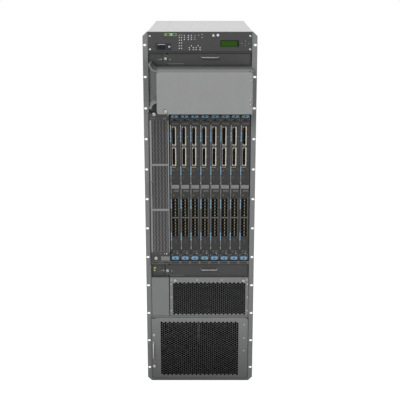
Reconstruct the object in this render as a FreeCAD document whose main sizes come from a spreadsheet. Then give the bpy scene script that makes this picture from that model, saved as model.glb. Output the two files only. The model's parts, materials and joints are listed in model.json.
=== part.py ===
# Core router chassis, 36 rack units high, in millimetres.
# +Z is up, the front faces -Y, and the flange plane is the reference for every depth below.
import FreeCAD, Part
import math
import os
import types
import Sketcher

# Driving dimensions. Heights are above the floor, depths are behind the flange plane.
DIMENSIONS = {
    # shell
    "chassis_half": 220, "wall": 2, "height": 1588, "depth": 841, "front_reach": 147, "rear_reach": 867,
    "bay_depth": 416, "rear_sheet": 2, "base_top": 14, "filter_top": 308, "lower_base": 320,
    "lower_top": 505, "lower_tray_base": 506.5, "lower_tray_top": 566, "card_base": 583, "card_top": 1247,
    "duct_base": 1250, "duct_top": 1446.6, "upper_tray_base": 1450, "upper_tray_top": 1500,
    "craft_base": 1508, "divider_left": -133.5, "divider_right": -131.7, "blank_right": -139,
    "intake_left": -137,
    # rack flanges
    "flange_half": 241.3, "flange_sheet": 2.5, "flange_leg": 45, "flange_chamfer": 18, "slot_x": 232.55,
    "slot_first": 66.12, "slot_pitch": 133.35, "slot_rows": 12, "slot_length": 13, "slot_width": 9,
    # craft panel and what it carries
    "craft_half": 218, "craft_sheet": 3, "fit_gap": 0.25, "display_left": 85, "display_right": 163.5,
    "display_low": 1525.4, "display_high": 1553.1, "display_depth": 22, "screen_left": 87.7,
    "screen_right": 157.6, "screen_low": 1526.6, "screen_high": 1550.2, "screen_recess": 2,
    "relay_left": -150.6, "relay_right": -97.1, "relay_low": 1570.3, "relay_high": 1582.3, "relay_reach": 8,
    "relay_depth": 14, "relay_socket": 8, "relay_socket_high": 6, "relay_pitch": 26.6,
    "relay_first": -133.7, "port_left": -198, "port_right": -121.5, "port_low": 1511.7, "port_high": 1540.7,
    "port_plate_left": -186, "port_reach": 5, "port_depth": 40, "socket_first": -173, "socket_pitch": 11.1,
    "socket_width": 9.2, "socket_low": 1515.6, "socket_high": 1530.6, "socket_depth": 14, "key_x": 190.6,
    "key_z": 1539.9, "key_step_x": 14.4, "key_step_z": 9, "key_half": 2.8, "key_hole_half": 3.1,
    "key_reach": 4.6, "key_depth": 5, "key_collar": 3.9, "key_collar_front": 0.8, "key_collar_back": 2,
    # fan trays
    "tray_left": -155, "tray_right": 217.2, "tray_face": 10, "tray_sheet": 2, "tray_gap": 0.7,
    "tray_inset": 5, "tray_back": 410, "well_sides": 16, "fan_radius": 78, "fan_first_x": -58,
    "fan_pitch_x": 178, "fan_first_y": 110, "fan_pitch_y": 190, "side_panel_face": 15, "notch_width": 7,
    "notch_high": 5, "notch_x": -138, "handle_left": 2, "handle_right": 81, "handle_reach": 26,
    "handle_bar": 8, "handle_round": 6, "upper_handle_z": 1479, "lower_handle_z": 537,
    # cable duct and its cover
    "duct_front": -143.5, "duct_left": -176, "duct_wall": 213.3, "duct_wall_sheet": 2,
    "duct_wall_front": -134, "roof_low": 1436, "roof_high": 1446, "roof_cut_x": 200, "roof_cut_y": -128,
    "lip_outer": 34, "lip_inner": 24, "floor_low": 1308, "floor_high": 1318, "duct_back": 16,
    "duct_back_sheet": 2, "drop_left": -150, "drop_back": -73.5, "skirt": 20, "bracket_left": -177,
    "bracket_right": -134, "bracket_low": 1248, "bracket_high": 1300, "bracket_front": -136,
    "bracket_sheet": 2, "cover_left": -178, "cover_right": 216, "cover_low": 1263, "cover_high": 1446,
    "cover_front": -147, "cover_sheet": 1.6, "cover_hem": 4, "cover_round": 10,
    # hinges of the three doors
    "barrel_radius": 2.8, "barrel_sides": 8, "barrel_bore": 1.56, "pin_radius": 1.5, "barrel_set": 2.6,
    "knuckle_long": 6, "knuckle_gap": 0.4, "neck_half": 1.6, "foot_front": 9, "foot_back": 20,
    "cover_axis_x": 211.4, "cover_hinge_low": 1299, "cover_hinge_high": 1418, "bay_axis_x": -136.6,
    "bay_hinge_low": 640, "bay_hinge_high": 1190, "filter_axis_x": 215.2, "filter_hinge_low": 60,
    "filter_hinge_high": 262,
    # board bay door
    "bay_left": -217.2, "bay_right": -134.6, "bay_low": 584.5, "bay_high": 1245.5, "bay_front": -7,
    "door_sheet": 1.6, "door_return": 5, "mesh_left": -208, "mesh_right": -140.5, "mesh_slot": 9,
    "mesh_pitch": 12.6, "mesh_columns": 5, "mesh_rows": 2, "mesh_gap": 6, "mesh_top_low": 1022,
    "mesh_top_high": 1205, "mesh_mid_low": 820, "mesh_mid_high": 1015, "mesh_end_low": 623,
    "mesh_end_high": 812, "bay_handle_x": -211, "bay_handle_low": 880, "bay_handle_high": 948,
    "bay_handle_reach": 18, "pull_width": 6, "pull_bar": 5, "pull_round": 4, "board_face": 24,
    "board_front_sheet": 3, "board_left": -214, "board_right": -139, "board_plane": -178, "board_sheet": 2,
    "board_back": 404, "board_gap": 1,
    # lower panels and filter door
    "panel_sheet": 2, "panel_return": 12, "blank_left": -217.2, "blank_edge": -140.2, "intake_edge": -136,
    "intake_right": 217.2, "panel_low": 321, "panel_high": 504.2, "hexagon_corner": 19.6,
    "hexagon_column": 35.6, "hexagon_row": 41.1, "intake_first_x": -100.4, "intake_first_z": 350.6,
    "intake_columns": 9, "intake_rows": 3, "filter_left": -219.5, "filter_right": 217, "filter_low": 16,
    "filter_high": 306, "filter_front": -8, "filter_first_x": -161.7, "filter_first_z": 45.5,
    "filter_columns": 10, "filter_rows": 6, "filter_round": 14, "filter_handle_x": -213,
    "filter_handle_low": 111, "filter_handle_high": 191, "filter_handle_reach": 25, "pad_half": 200,
    "pad_low": 14.2, "pad_high": 300, "pad_face": 5, "pad_back": 17, "pad_rim": 12, "pad_relief": 3,
    "pad_bar": 8,
    # line cards
    "card_first": -109.6, "card_pitch": 43.5, "card_half": 20.6, "card_low": 584, "card_high": 1240,
    "card_face": 6, "card_sheet": 3, "card_board_left": 12, "card_board_right": 14, "card_board_low": 590,
    "card_board_high": 1234, "card_back": 405, "notch_half": 15.8, "notch_deep": 27, "rib_left": -19.6,
    "rib_right": -14.6, "rib_low": 635, "rib_high": 1195, "rib_reach": 4, "frame_left": -11,
    "frame_right": 6.2, "frame_reach": 3.5, "frame_back": 26, "cavity_left": -5.8, "cavity_right": 1.9,
    "cavity_depth": 18, "cavity_inset": 3, "frame_a_low": 1105, "frame_a_high": 1188, "frame_b_low": 1015,
    "frame_b_high": 1097, "cage_left": -12.5, "cage_right": 14, "cage_low": 693, "cage_high": 870,
    "cage_reach": 2, "cage_back": 28, "jack_first_x": -5.9, "jack_pitch_x": 13.2, "jack_width": 10.4,
    "jack_first_z": 708.75, "jack_pitch_z": 27.4, "jack_high": 24.9, "jack_rows": 3, "jack_group": 90,
    "jack_depth": 16, "bar_left": -17, "bar_right": 19, "bar_low": 914, "bar_high": 930, "bar_reach": 8,
    # ejector levers
    "pivot_y": 7.5, "pivot_top": 1221, "pivot_bottom": 605.5, "bar_radius": 1.25, "bar_sides": 6,
    "pivot_bar_half": 16.8, "hook_gap": 1.3, "hook_heel": 2.8, "hook_end": -2.8, "lever_half": 6,
    "toe_front": 3, "toe_back": 9, "toe_low": 4, "toe_high": 9, "arm_front": -12.5, "arm_shoulder": -7,
    "arm_low": 4, "arm_high": 16, "grip_centre": 11, "grip_half": 15.5, "grip_half_high": 7.5,
    "grip_cut": 4.5, "grip_front": -17.5, "grip_back": -11.5,
    # midplane and rear modules
    "midplane_half": 217.5, "midplane_front": 416.2, "midplane_back": 420.2, "midplane_inset": 0.6,
    "rear_fan_top": 1584, "rear_fan_half": 216, "rear_fan_box_half": 205, "rear_fan_inset": 10,
    "rear_fan_front": 690, "rear_fan_radius": 62, "rear_fan_pitch_x": 136, "rear_fan_low": 1344,
    "rear_fan_pitch_z": 148, "rear_sheet_face": 3, "switch_pitch": 86.8, "switch_half": 42.6,
    "switch_board_half": 1.5, "switch_front": 430, "switch_gap": 1, "switch_slot": 6,
    "switch_slot_low": 700, "switch_slot_high": 1130, "switch_slot_pitch": 18, "switch_slots": 4,
    "switch_pull_half": 26, "switch_pull_high": 14, "switch_pull_inset": 24, "switch_pull_reach": 16,
    "power_gap": 1.5, "power_outer": 216.5, "power_low": 15, "power_high": 306, "power_front": 440,
    "power_wall": 4, "power_slot_high": 5, "power_slot_pitch": 14, "power_slots": 7, "power_slot_first": 40,
    "power_slot_inset": 24, "power_cover_low": 190, "power_cover_high": 270, "power_cover_left": 30,
    "power_cover_right": 130, "power_cover_reach": 14, "power_handle_left": 150, "power_handle_low": 60,
    "power_handle_high": 190, "rear_handle_width": 10, "rear_handle_bar": 8,
}
CARDS = 8
SWITCH_CARDS = 5

doc = FreeCAD.newDocument("core_router")
sheet = doc.addObject("Spreadsheet::Sheet", "dims")
for row, (alias, number) in enumerate(DIMENSIONS.items(), 1):
    sheet.set(f"A{row}", alias)
    sheet.set(f"B{row}", str(number))
    sheet.setAlias(f"B{row}", alias)
doc.recompute()


class Size:
    """A length that keeps its sheet expression beside its value."""

    def __init__(self, text, value):
        self.text = text
        self.value = value

    def joined(self, sign, other, value):
        return Size(f"({self.text} {sign} {other.text})", value)

    def __add__(self, other):
        other = as_size(other)
        return self.joined("+", other, self.value + other.value)

    def __sub__(self, other):
        other = as_size(other)
        return self.joined("-", other, self.value - other.value)

    def __rsub__(self, other):
        return as_size(other) - self

    def __mul__(self, other):
        other = as_size(other)
        return self.joined("*", other, self.value * other.value)

    def __truediv__(self, other):
        other = as_size(other)
        return self.joined("/", other, self.value / other.value)

    def __neg__(self):
        return self * -1

    __radd__ = __add__
    __rmul__ = __mul__


def as_size(length):
    return length if isinstance(length, Size) else Size(f"({length})", float(length))


d = types.SimpleNamespace(**{alias: Size(f"dims.{alias}", float(sheet.get(alias))) for alias in DIMENSIONS})
FLANGE_PLANE = (d.front_reach - d.rear_reach) / 2

# Each view's plane, and which way the plane's normal points along the view's depth axis.
VIEWS = {"front": ("XZ_Plane", -1), "side": ("YZ_Plane", 1), "plan": ("XY_Plane", 1)}
nodes = []


def new_body(label, x=0, y=0, z=0):
    """Starts a sub-part, placed from the flange plane."""
    body = doc.addObject("PartDesign::Body", label)
    body.Label = label
    place(body, x, y, z)
    nodes.append(body)
    return body


def place(item, x=0, y=0, z=0):
    for axis, distance in zip("xyz", (as_size(x), FLANGE_PLANE + y, as_size(z))):
        item.setExpression(f"Placement.Base.{axis}", distance.text)


def locate(sketch, item, point, x=None, z=None):
    """Ties a point of a sketch to its distances from the sketch's origin."""
    for kind, distance in (("DistanceX", x), ("DistanceY", z)):
        if distance is not None:
            size = as_size(distance)
            number = sketch.addConstraint(Sketcher.Constraint(kind, -1, 1, item, point, size.value))
            sketch.setExpression(f"Constraints[{number}]", size.text)


def set_radius(sketch, item, radius):
    number = sketch.addConstraint(Sketcher.Constraint("Radius", item, as_size(radius).value))
    sketch.setExpression(f"Constraints[{number}]", as_size(radius).text)


def polygon(*corners):
    def draw(sketch):
        first = sketch.GeometryCount
        points = [FreeCAD.Vector(as_size(x).value, as_size(z).value, 0) for x, z in corners]
        count = len(points)
        sides = [Part.LineSegment(points[i], points[(i + 1) % count]) for i in range(count)]
        sketch.addGeometry(sides, False)
        for i in range(count):
            sketch.addConstraint(Sketcher.Constraint("Coincident", first + i, 2, first + (i + 1) % count, 1))
        for i, (x, z) in enumerate(corners):
            locate(sketch, first + i, 1, x, z)
    return draw


def rectangle(left, right, low, high):
    return polygon((left, low), (right, low), (right, high), (left, high))


def square(x, z, half):
    return rectangle(x - half, x + half, z - half, z + half)


def circle(x, z, radius):
    def draw(sketch):
        centre = FreeCAD.Vector(as_size(x).value, as_size(z).value, 0)
        item = sketch.addGeometry(Part.Circle(centre, FreeCAD.Vector(0, 0, 1), as_size(radius).value), False)
        locate(sketch, item, 3, x, z)
        set_radius(sketch, item, radius)
    return draw


def slot(x, z, length, width):
    """A slot with round ends, along the sketch's horizontal."""
    def draw(sketch):
        radius = as_size(width) / 2
        reach = (as_size(length) - width) / 2
        first = sketch.GeometryCount
        normal = FreeCAD.Vector(0, 0, 1)
        ends = []
        for side, start in ((1, -math.pi / 2), (-1, math.pi / 2)):
            centre = FreeCAD.Vector((as_size(x) + reach * side).value, as_size(z).value, 0)
            ends.append(Part.ArcOfCircle(Part.Circle(centre, normal, radius.value), start, start + math.pi))
        sketch.addGeometry(ends, False)
        sketch.addGeometry([Part.LineSegment(ends[0].EndPoint, ends[1].StartPoint),
                            Part.LineSegment(ends[1].EndPoint, ends[0].StartPoint)], False)
        for one, point, other, end in ((0, 2, 2, 1), (2, 2, 1, 1), (1, 2, 3, 1), (3, 2, 0, 1)):
            sketch.addConstraint(Sketcher.Constraint("Tangent", first + one, point, first + other, end))
        locate(sketch, first, 3, as_size(x) + reach, z)
        locate(sketch, first + 1, 3, as_size(x) - reach, z)
        set_radius(sketch, first, radius)
    return draw


def quarter_ring(x, z, inner, outer, start):
    """A quarter of a ring from the start angle, in degrees: 90 for top to left, 180 for left to bottom."""
    def draw(sketch):
        first = sketch.GeometryCount
        centre = FreeCAD.Vector(as_size(x).value, as_size(z).value, 0)
        normal = FreeCAD.Vector(0, 0, 1)
        begin = math.radians(start)
        rings = [Part.Circle(centre, normal, as_size(radius).value) for radius in (inner, outer)]
        arcs = [Part.ArcOfCircle(ring, begin, begin + math.pi / 2) for ring in rings]
        sketch.addGeometry(arcs, False)
        sketch.addGeometry([Part.LineSegment(arcs[0].StartPoint, arcs[1].StartPoint),
                            Part.LineSegment(arcs[0].EndPoint, arcs[1].EndPoint)], False)
        for line, point in ((2, 1), (3, 2)):
            sketch.addConstraint(Sketcher.Constraint("Coincident", first + line, 1, first, point))
            sketch.addConstraint(Sketcher.Constraint("Coincident", first + line, 2, first + 1, point))
        upright, level = (1, 2) if start == 90 else (2, 1)
        for item, radius in ((first, inner), (first + 1, outer)):
            locate(sketch, item, 3, x, z)
            set_radius(sketch, item, radius)
            locate(sketch, item, upright, x=x)
            locate(sketch, item, level, z=z)
    return draw


def regular(x, z, radius, sides):
    """A regular polygon by the radius of its corners, the first of them straight to the right."""
    x, z = as_size(x), as_size(z)
    count = int(as_size(sides).value)
    turns = [2 * math.pi * number / count for number in range(count)]
    return polygon(*[(x + radius * math.cos(turn), z + radius * math.sin(turn)) for turn in turns])


def extrude(body, name, view, start, end, *shapes, cut=False):
    """Adds or cuts shapes drawn in a view, from start to end along that view's depth axis."""
    role, sense = VIEWS[view]
    sketch = body.newObject("Sketcher::SketchObject", f"{name}_sketch")
    plane = next(item for item in body.Origin.OriginFeatures if item.Role == role)
    sketch.AttachmentSupport = [(plane, "")]
    sketch.MapMode = "FlatFace"
    base = end if (sense < 0) != cut else start
    sketch.setExpression("AttachmentOffset.Base.z", (as_size(base) * sense).text)
    for shape in shapes:
        shape(sketch)
    feature = body.newObject("PartDesign::Pocket" if cut else "PartDesign::Pad", name)
    feature.Profile = sketch
    feature.setExpression("Length", (as_size(end) - start).text)
    return feature


def repeat(body, feature, across=None, up=None):
    """Repeats a feature along its sketch's axes; each way is a count and a pitch."""
    pattern = body.newObject("PartDesign::LinearPattern", f"{feature.Name}_row")
    pattern.Originals = [feature]
    sketch = feature.Profile[0]
    ways = [(axis, way) for axis, way in (("H_Axis", across), ("V_Axis", up)) if way]
    for suffix, (axis, (count, pitch)) in zip(("", "2"), ways):
        setattr(pattern, f"Direction{suffix}", (sketch, [axis]))
        pattern.setExpression(f"Occurrences{suffix}", as_size(count).text)
        pattern.setExpression(f"Length{suffix}", (as_size(pitch) * (as_size(count) - 1)).text)
    body.Tip = pattern
    return pattern


def round_corners(body, axis, radius, *corners):
    """Rounds the straight edges along an axis that pass through the given corners of the other two axes."""
    doc.recompute()
    feature = body.Tip
    others = [letter for letter in "xyz" if letter != axis]
    names = []
    for number, edge in enumerate(feature.Shape.Edges, 1):
        ends = [vertex.Point for vertex in edge.Vertexes]
        if len(ends) == 2 and abs(getattr(ends[0] - ends[1], axis)) > edge.Length - 1e-6:
            for corner in corners:
                spots = [as_size(spot).value for spot in corner]
                if all(abs(getattr(ends[0], letter) - spot) < 1e-4 for letter, spot in zip(others, spots)):
                    names.append(f"Edge{number}")
    fillet = body.newObject("PartDesign::Fillet", "corner_round")
    fillet.Base = (feature, names)
    fillet.setExpression("Radius", as_size(radius).text)
    return fillet


def bar_handle(label, view, first, last, root, reach, bar, low, high, corner):
    """A bar on two legs, drawn in a view that shows its U, standing forward of its root."""
    body = new_body(label)
    front = as_size(root) - reach
    outline = [(first, root), (first, front), (last, front), (last, root), (last - bar, root),
               (last - bar, front + bar), (first + bar, front + bar), (first + bar, root)]
    if view == "side":
        outline = [(depth, along) for along, depth in outline]
    extrude(body, "bow", view, low, high, polygon(*outline))
    axis = {"plan": "z", "side": "x"}[view]
    ends = [(first, front), (last, front)]
    if view == "side":
        ends = [(depth, along) for along, depth in ends]
    round_corners(body, axis, corner, *ends)
    return body


def add_barrel(body, axis_x, axis_y, low, high):
    """A hinge barrel behind a door's skin, bored for its pin."""
    extrude(body, "barrel", "plan", low, high, regular(axis_x, axis_y, d.barrel_radius, d.barrel_sides))
    extrude(body, "barrel_bore", "plan", low, high, circle(axis_x, axis_y, d.barrel_bore), cut=True)


def build_chassis():
    body = new_body("chassis_frame")
    inner = d.chassis_half - d.wall
    roof = d.height - d.wall
    extrude(body, "block", "front", 0, d.depth, rectangle(-d.chassis_half, d.chassis_half, 0, d.height))
    extrude(body, "front_bays", "front", 0, d.bay_depth,
            rectangle(-inner, inner, d.base_top, d.filter_top),
            rectangle(-inner, d.divider_left, d.card_base, d.card_top),
            rectangle(d.divider_right, inner, d.card_base, d.card_top),
            rectangle(-inner, inner, d.duct_base, d.duct_top),
            rectangle(-inner, inner, d.upper_tray_base, d.upper_tray_top),
            rectangle(-inner, inner, d.craft_base, roof), cut=True)
    extrude(body, "deep_bays", "front", 0, d.depth - d.rear_sheet,
            rectangle(-inner, d.blank_right, d.lower_base, d.lower_top),
            rectangle(d.intake_left, inner, d.lower_base, d.lower_top),
            rectangle(-inner, inner, d.lower_tray_base, d.lower_tray_top), cut=True)
    extrude(body, "rear_bays", "front", d.bay_depth, d.depth,
            rectangle(-inner, inner, d.base_top, d.filter_top),
            rectangle(-inner, inner, d.card_base, d.card_top),
            rectangle(-inner, inner, d.duct_base, roof), cut=True)


def build_flanges():
    body = new_body("rack_flanges")
    edge = d.flange_half - d.flange_chamfer
    extrude(body, "flange", "front", 0, d.flange_sheet,
            polygon((d.chassis_half, 0), (edge, 0), (d.flange_half, d.flange_chamfer),
                    (d.flange_half, d.height - d.flange_chamfer), (edge, d.height),
                    (d.chassis_half, d.height)))
    extrude(body, "leg", "front", d.flange_sheet, d.flange_leg,
            rectangle(d.chassis_half, d.chassis_half + d.flange_sheet, 0, d.height))
    hole = extrude(body, "rack_slot", "front", 0, d.flange_sheet,
                   slot(d.slot_x, d.slot_first, d.slot_length, d.slot_width), cut=True)
    repeat(body, hole, up=(d.slot_rows, d.slot_pitch))
    doc.recompute()
    other_side = doc.addObject("Part::Mirroring", "flange_mirror")
    other_side.Source = body
    other_side.Normal = FreeCAD.Vector(1, 0, 0)
    pair = doc.addObject("Part::Compound", "flange_pair")
    pair.Links = [body, other_side]
    nodes.remove(body)
    body.Label = "right_flange"
    pair.Label = "rack_flanges"
    nodes.append(pair)


def build_craft_panel():
    body = new_body("craft_panel")
    extrude(body, "plate", "front", -d.craft_sheet, 0,
            rectangle(-d.craft_half, d.craft_half, d.craft_base, d.height))
    keys = [square(x, z, d.key_hole_half) for x, z in key_places().values()]
    extrude(body, "windows", "front", -d.craft_sheet, 0,
            rectangle(d.display_left, d.display_right, d.display_low, d.display_high),
            rectangle(d.relay_left, d.relay_right, d.relay_low, d.relay_high),
            rectangle(d.port_left, d.port_right, d.port_low, d.port_high), *keys, cut=True)


def inset(left, right, low, high):
    """A rectangle set in from its window by the fitting gap."""
    return rectangle(left + d.fit_gap, right - d.fit_gap, low + d.fit_gap, high - d.fit_gap)


def build_display():
    body = new_body("display_module")
    extrude(body, "case", "front", -d.craft_sheet, d.display_depth,
            inset(d.display_left, d.display_right, d.display_low, d.display_high))
    extrude(body, "screen", "front", -d.craft_sheet, d.screen_recess - d.craft_sheet,
            rectangle(d.screen_left, d.screen_right, d.screen_low, d.screen_high), cut=True)


def build_relay_block():
    body = new_body("relay_terminal_block")
    extrude(body, "block", "front", -d.relay_reach, d.relay_depth,
            inset(d.relay_left, d.relay_right, d.relay_low, d.relay_high))
    middle = (d.relay_low + d.relay_high) / 2
    entry = extrude(body, "entry", "front", -d.relay_reach, 0,
                    rectangle(d.relay_first - d.relay_socket / 2, d.relay_first + d.relay_socket / 2,
                              middle - d.relay_socket_high / 2, middle + d.relay_socket_high / 2), cut=True)
    repeat(body, entry, across=(2, d.relay_pitch))


def build_port_module():
    body = new_body("port_module")
    extrude(body, "case", "front", -d.craft_sheet, d.port_depth,
            inset(d.port_left, d.port_right, d.port_low, d.port_high))
    extrude(body, "plate", "front", -d.port_reach, -d.craft_sheet,
            inset(d.port_plate_left, d.port_right, d.port_low, d.port_high))
    socket = extrude(body, "socket", "front", -d.port_reach, d.socket_depth - d.port_reach,
                     rectangle(d.socket_first - d.socket_width / 2, d.socket_first + d.socket_width / 2,
                               d.socket_low, d.socket_high), cut=True)
    repeat(body, socket, across=(3, d.socket_pitch))


def key_places():
    return {"up": (d.key_x, d.key_z + d.key_step_z), "down": (d.key_x, d.key_z - d.key_step_z),
            "left": (d.key_x - d.key_step_x, d.key_z), "right": (d.key_x + d.key_step_x, d.key_z),
            "enter": (d.key_x, d.key_z)}


def build_keys():
    for name, (x, z) in key_places().items():
        body = new_body(f"key_{name}", x=x, z=z)
        extrude(body, "stem", "front", -d.key_reach, d.key_depth, square(0, 0, d.key_half))
        extrude(body, "collar", "front", d.key_collar_front, d.key_collar_back, square(0, 0, d.key_collar))


def build_fan_tray(name, base, top, handle_z):
    body = new_body(f"{name}_fan_tray")
    low = base + d.tray_gap
    high = top - d.tray_gap
    back = d.tray_face + d.tray_sheet
    extrude(body, "face", "front", d.tray_face, back, rectangle(d.tray_left, d.tray_right, low, high))
    extrude(body, "frame", "front", back, d.tray_back,
            rectangle(d.tray_left + d.tray_inset, d.tray_right - d.tray_inset, low + d.tray_sheet,
                      high - d.tray_sheet))
    well = extrude(body, "fan_well", "plan", low, high,
                   regular(d.fan_first_x, d.fan_first_y, d.fan_radius, d.well_sides), cut=True)
    repeat(body, well, across=(2, d.fan_pitch_x), up=(2, d.fan_pitch_y))
    corners = [rectangle(d.notch_x - d.notch_width / 2, d.notch_x + d.notch_width / 2, notch_low, notch_high)
               for notch_low, notch_high in ((low, low + d.notch_high), (high - d.notch_high, high))]
    extrude(body, "notches", "front", d.tray_face, back, *corners, cut=True)
    bar_handle(f"{name}_tray_handle", "plan", d.handle_left, d.handle_right, d.tray_face, d.handle_reach,
               d.handle_bar, handle_z - d.handle_bar / 2, handle_z + d.handle_bar / 2, d.handle_round)


def build_tray_side_panels():
    body = new_body("tray_side_panels")
    left = d.wall - d.chassis_half
    right = d.tray_left - d.tray_sheet
    back = d.side_panel_face + d.tray_sheet
    extrude(body, "panels", "front", d.side_panel_face, back,
            rectangle(left, right, d.upper_tray_base, d.upper_tray_top),
            rectangle(left, right, d.lower_tray_base, d.lower_tray_top))


def build_cable_duct():
    body = new_body("cable_duct")
    wall_back = d.duct_wall + d.duct_wall_sheet
    inner = d.chassis_half - d.wall
    extrude(body, "roof", "plan", d.roof_low, d.roof_high,
            polygon((d.duct_left, d.duct_front), (d.roof_cut_x, d.duct_front), (wall_back, d.roof_cut_y),
                    (wall_back, 0), (d.duct_left, 0)))
    extrude(body, "upper_lip", "front", d.duct_front, 0,
            quarter_ring(d.duct_left, d.roof_low + d.lip_outer, d.lip_inner, d.lip_outer, 180))
    extrude(body, "floor", "plan", d.floor_low, d.floor_high,
            polygon((d.duct_left, d.duct_front), (d.drop_left, d.duct_front), (d.drop_left, d.drop_back),
                    (wall_back, d.drop_back), (wall_back, 0), (d.duct_left, 0)))
    extrude(body, "lower_lip", "front", d.duct_front, 0,
            quarter_ring(d.duct_left, d.floor_high - d.lip_outer, d.lip_inner, d.lip_outer, 90))
    extrude(body, "wall", "front", d.duct_wall_front, 0,
            rectangle(d.duct_wall, wall_back, d.floor_low - d.skirt, d.roof_low))
    extrude(body, "necks", "front", 0, d.duct_back,
            rectangle(d.duct_left, wall_back, d.roof_low, d.roof_high),
            rectangle(d.duct_left, wall_back, d.floor_low, d.floor_high))
    extrude(body, "back", "front", d.duct_back, d.duct_back + d.duct_back_sheet,
            rectangle(-inner, inner, d.duct_base, d.duct_top))
    extrude(body, "latch_bracket", "front", d.bracket_front, d.bracket_front + d.bracket_sheet,
            polygon((d.bracket_left, d.bracket_low), (d.bracket_right, d.bracket_low),
                    (d.bracket_right, d.bracket_high), (d.drop_left, d.bracket_high),
                    (d.drop_left, d.floor_low), (d.bracket_left, d.floor_low)))


def build_cable_cover():
    body = new_body("cable_cover")
    back = d.cover_front + d.cover_sheet
    extrude(body, "skin", "front", d.cover_front, back,
            rectangle(d.cover_left, d.cover_right, d.cover_low, d.cover_high))
    round_corners(body, "y", d.cover_round, (d.cover_left, d.cover_low), (d.cover_left, d.cover_high),
                  (d.cover_right, d.cover_high))
    extrude(body, "hem", "front", back, back + d.cover_sheet,
            rectangle(d.cover_left + d.cover_round, d.cover_axis_x - d.cover_round,
                      d.cover_low, d.cover_low + d.cover_hem))
    add_barrel(body, d.cover_axis_x, back + d.barrel_set, d.cover_hinge_low, d.cover_hinge_high)


def build_hinge_pins():
    """The fixed half of each hinge: two knuckles on their feet, joined by the pin."""
    body = new_body("hinge_pins")
    hinges = [
        (d.cover_axis_x, d.cover_front + d.cover_sheet, d.duct_wall, d.cover_hinge_low, d.cover_hinge_high),
        (d.bay_axis_x, d.bay_front + d.door_sheet, d.divider_left, d.bay_hinge_low, d.bay_hinge_high),
        (d.filter_axis_x, d.filter_front + d.door_sheet, d.chassis_half - d.wall, d.filter_hinge_low,
         d.filter_hinge_high),
    ]
    for axis_x, skin_back, carrier, low, high in hinges:
        axis_y = skin_back + d.barrel_set
        low = low - d.knuckle_gap
        high = high + d.knuckle_gap
        extrude(body, "pin", "plan", low, high, circle(axis_x, axis_y, d.pin_radius))
        left = axis_x - d.neck_half
        right = axis_x + d.neck_half
        front = axis_y - d.neck_half
        for start in (low - d.knuckle_long, high):
            extrude(body, "knuckle", "plan", start, start + d.knuckle_long,
                    polygon((left, front), (right, front), (right, axis_y + d.foot_front),
                            (carrier, axis_y + d.foot_front), (carrier, axis_y + d.foot_back),
                            (left, axis_y + d.foot_back)))


def build_bay_door():
    body = new_body("bay_door")
    back = d.bay_front + d.door_sheet
    extrude(body, "skin", "front", d.bay_front, back,
            rectangle(d.bay_left, d.bay_right, d.bay_low, d.bay_high))
    rim = d.door_sheet
    side = d.mesh_right
    extrude(body, "returns", "front", back, back + d.door_return,
            polygon((d.bay_left, d.bay_low), (side, d.bay_low), (side, d.bay_low + rim),
                    (d.bay_left + rim, d.bay_low + rim), (d.bay_left + rim, d.bay_high - rim),
                    (side, d.bay_high - rim), (side, d.bay_high), (d.bay_left, d.bay_high)))
    first = (d.mesh_left + d.mesh_right) / 2 - d.mesh_pitch * (d.mesh_columns - 1) / 2
    for low, high in ((d.mesh_top_low, d.mesh_top_high), (d.mesh_mid_low, d.mesh_mid_high),
                      (d.mesh_end_low, d.mesh_end_high)):
        pitch = (high - low + d.mesh_gap) / d.mesh_rows
        opening = extrude(body, "mesh_slot", "front", d.bay_front, back,
                          rectangle(first - d.mesh_slot / 2, first + d.mesh_slot / 2, low,
                                    low + pitch - d.mesh_gap), cut=True)
        repeat(body, opening, across=(d.mesh_columns, d.mesh_pitch), up=(d.mesh_rows, pitch))
    add_barrel(body, d.bay_axis_x, back + d.barrel_set, d.bay_hinge_low, d.bay_hinge_high)
    bar_handle("bay_door_handle", "side", d.bay_handle_low, d.bay_handle_high, d.bay_front,
               d.bay_handle_reach, d.pull_bar, d.bay_handle_x - d.pull_width / 2,
               d.bay_handle_x + d.pull_width / 2, d.pull_round)


def build_control_boards():
    body = new_body("control_boards")
    edges = (d.card_base, (d.mesh_end_high + d.mesh_mid_low) / 2, (d.mesh_mid_high + d.mesh_top_low) / 2,
             d.card_top)
    front_back = d.board_face + d.board_front_sheet
    for low, high in zip(edges, edges[1:]):
        extrude(body, "front_sheet", "front", d.board_face, front_back,
                rectangle(d.board_left, d.board_right, low + d.board_gap, high - d.board_gap))
        extrude(body, "board", "front", front_back, d.board_back,
                rectangle(d.board_plane - d.board_sheet / 2, d.board_plane + d.board_sheet / 2,
                          low + d.board_gap, high - d.board_gap))


def build_lower_panels():
    blank = new_body("lower_blank_panel")
    add_tray_panel(blank, d.blank_left, d.blank_edge)
    intake = new_body("intake_panel")
    add_tray_panel(intake, d.intake_edge, d.intake_right)
    add_honeycomb(intake, -d.panel_sheet, 0, d.intake_first_x, d.intake_first_z, d.intake_columns,
                  d.intake_rows)


def add_tray_panel(body, left, right):
    """A plate whose four edges fold back into its bay."""
    extrude(body, "plate", "front", -d.panel_sheet, 0, rectangle(left, right, d.panel_low, d.panel_high))
    extrude(body, "returns", "front", 0, d.panel_return, rectangle(left, right, d.panel_low, d.panel_high))
    extrude(body, "hollow", "front", 0, d.panel_return,
            rectangle(left + d.panel_sheet, right - d.panel_sheet, d.panel_low + d.panel_sheet,
                      d.panel_high - d.panel_sheet), cut=True)


def add_honeycomb(body, front, back, first_x, first_z, columns, rows):
    """Hexagonal holes in columns, every other column half a row higher."""
    odd = columns.value // 2
    even_columns = (first_x, first_z, columns - odd)
    odd_columns = (first_x + d.hexagon_column, first_z + d.hexagon_row / 2, odd)
    for x, z, count in (even_columns, odd_columns):
        cell = extrude(body, "cell", "front", front, back, regular(x, z, d.hexagon_corner, 6), cut=True)
        repeat(body, cell, across=(count, d.hexagon_column * 2), up=(rows, d.hexagon_row))


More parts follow.
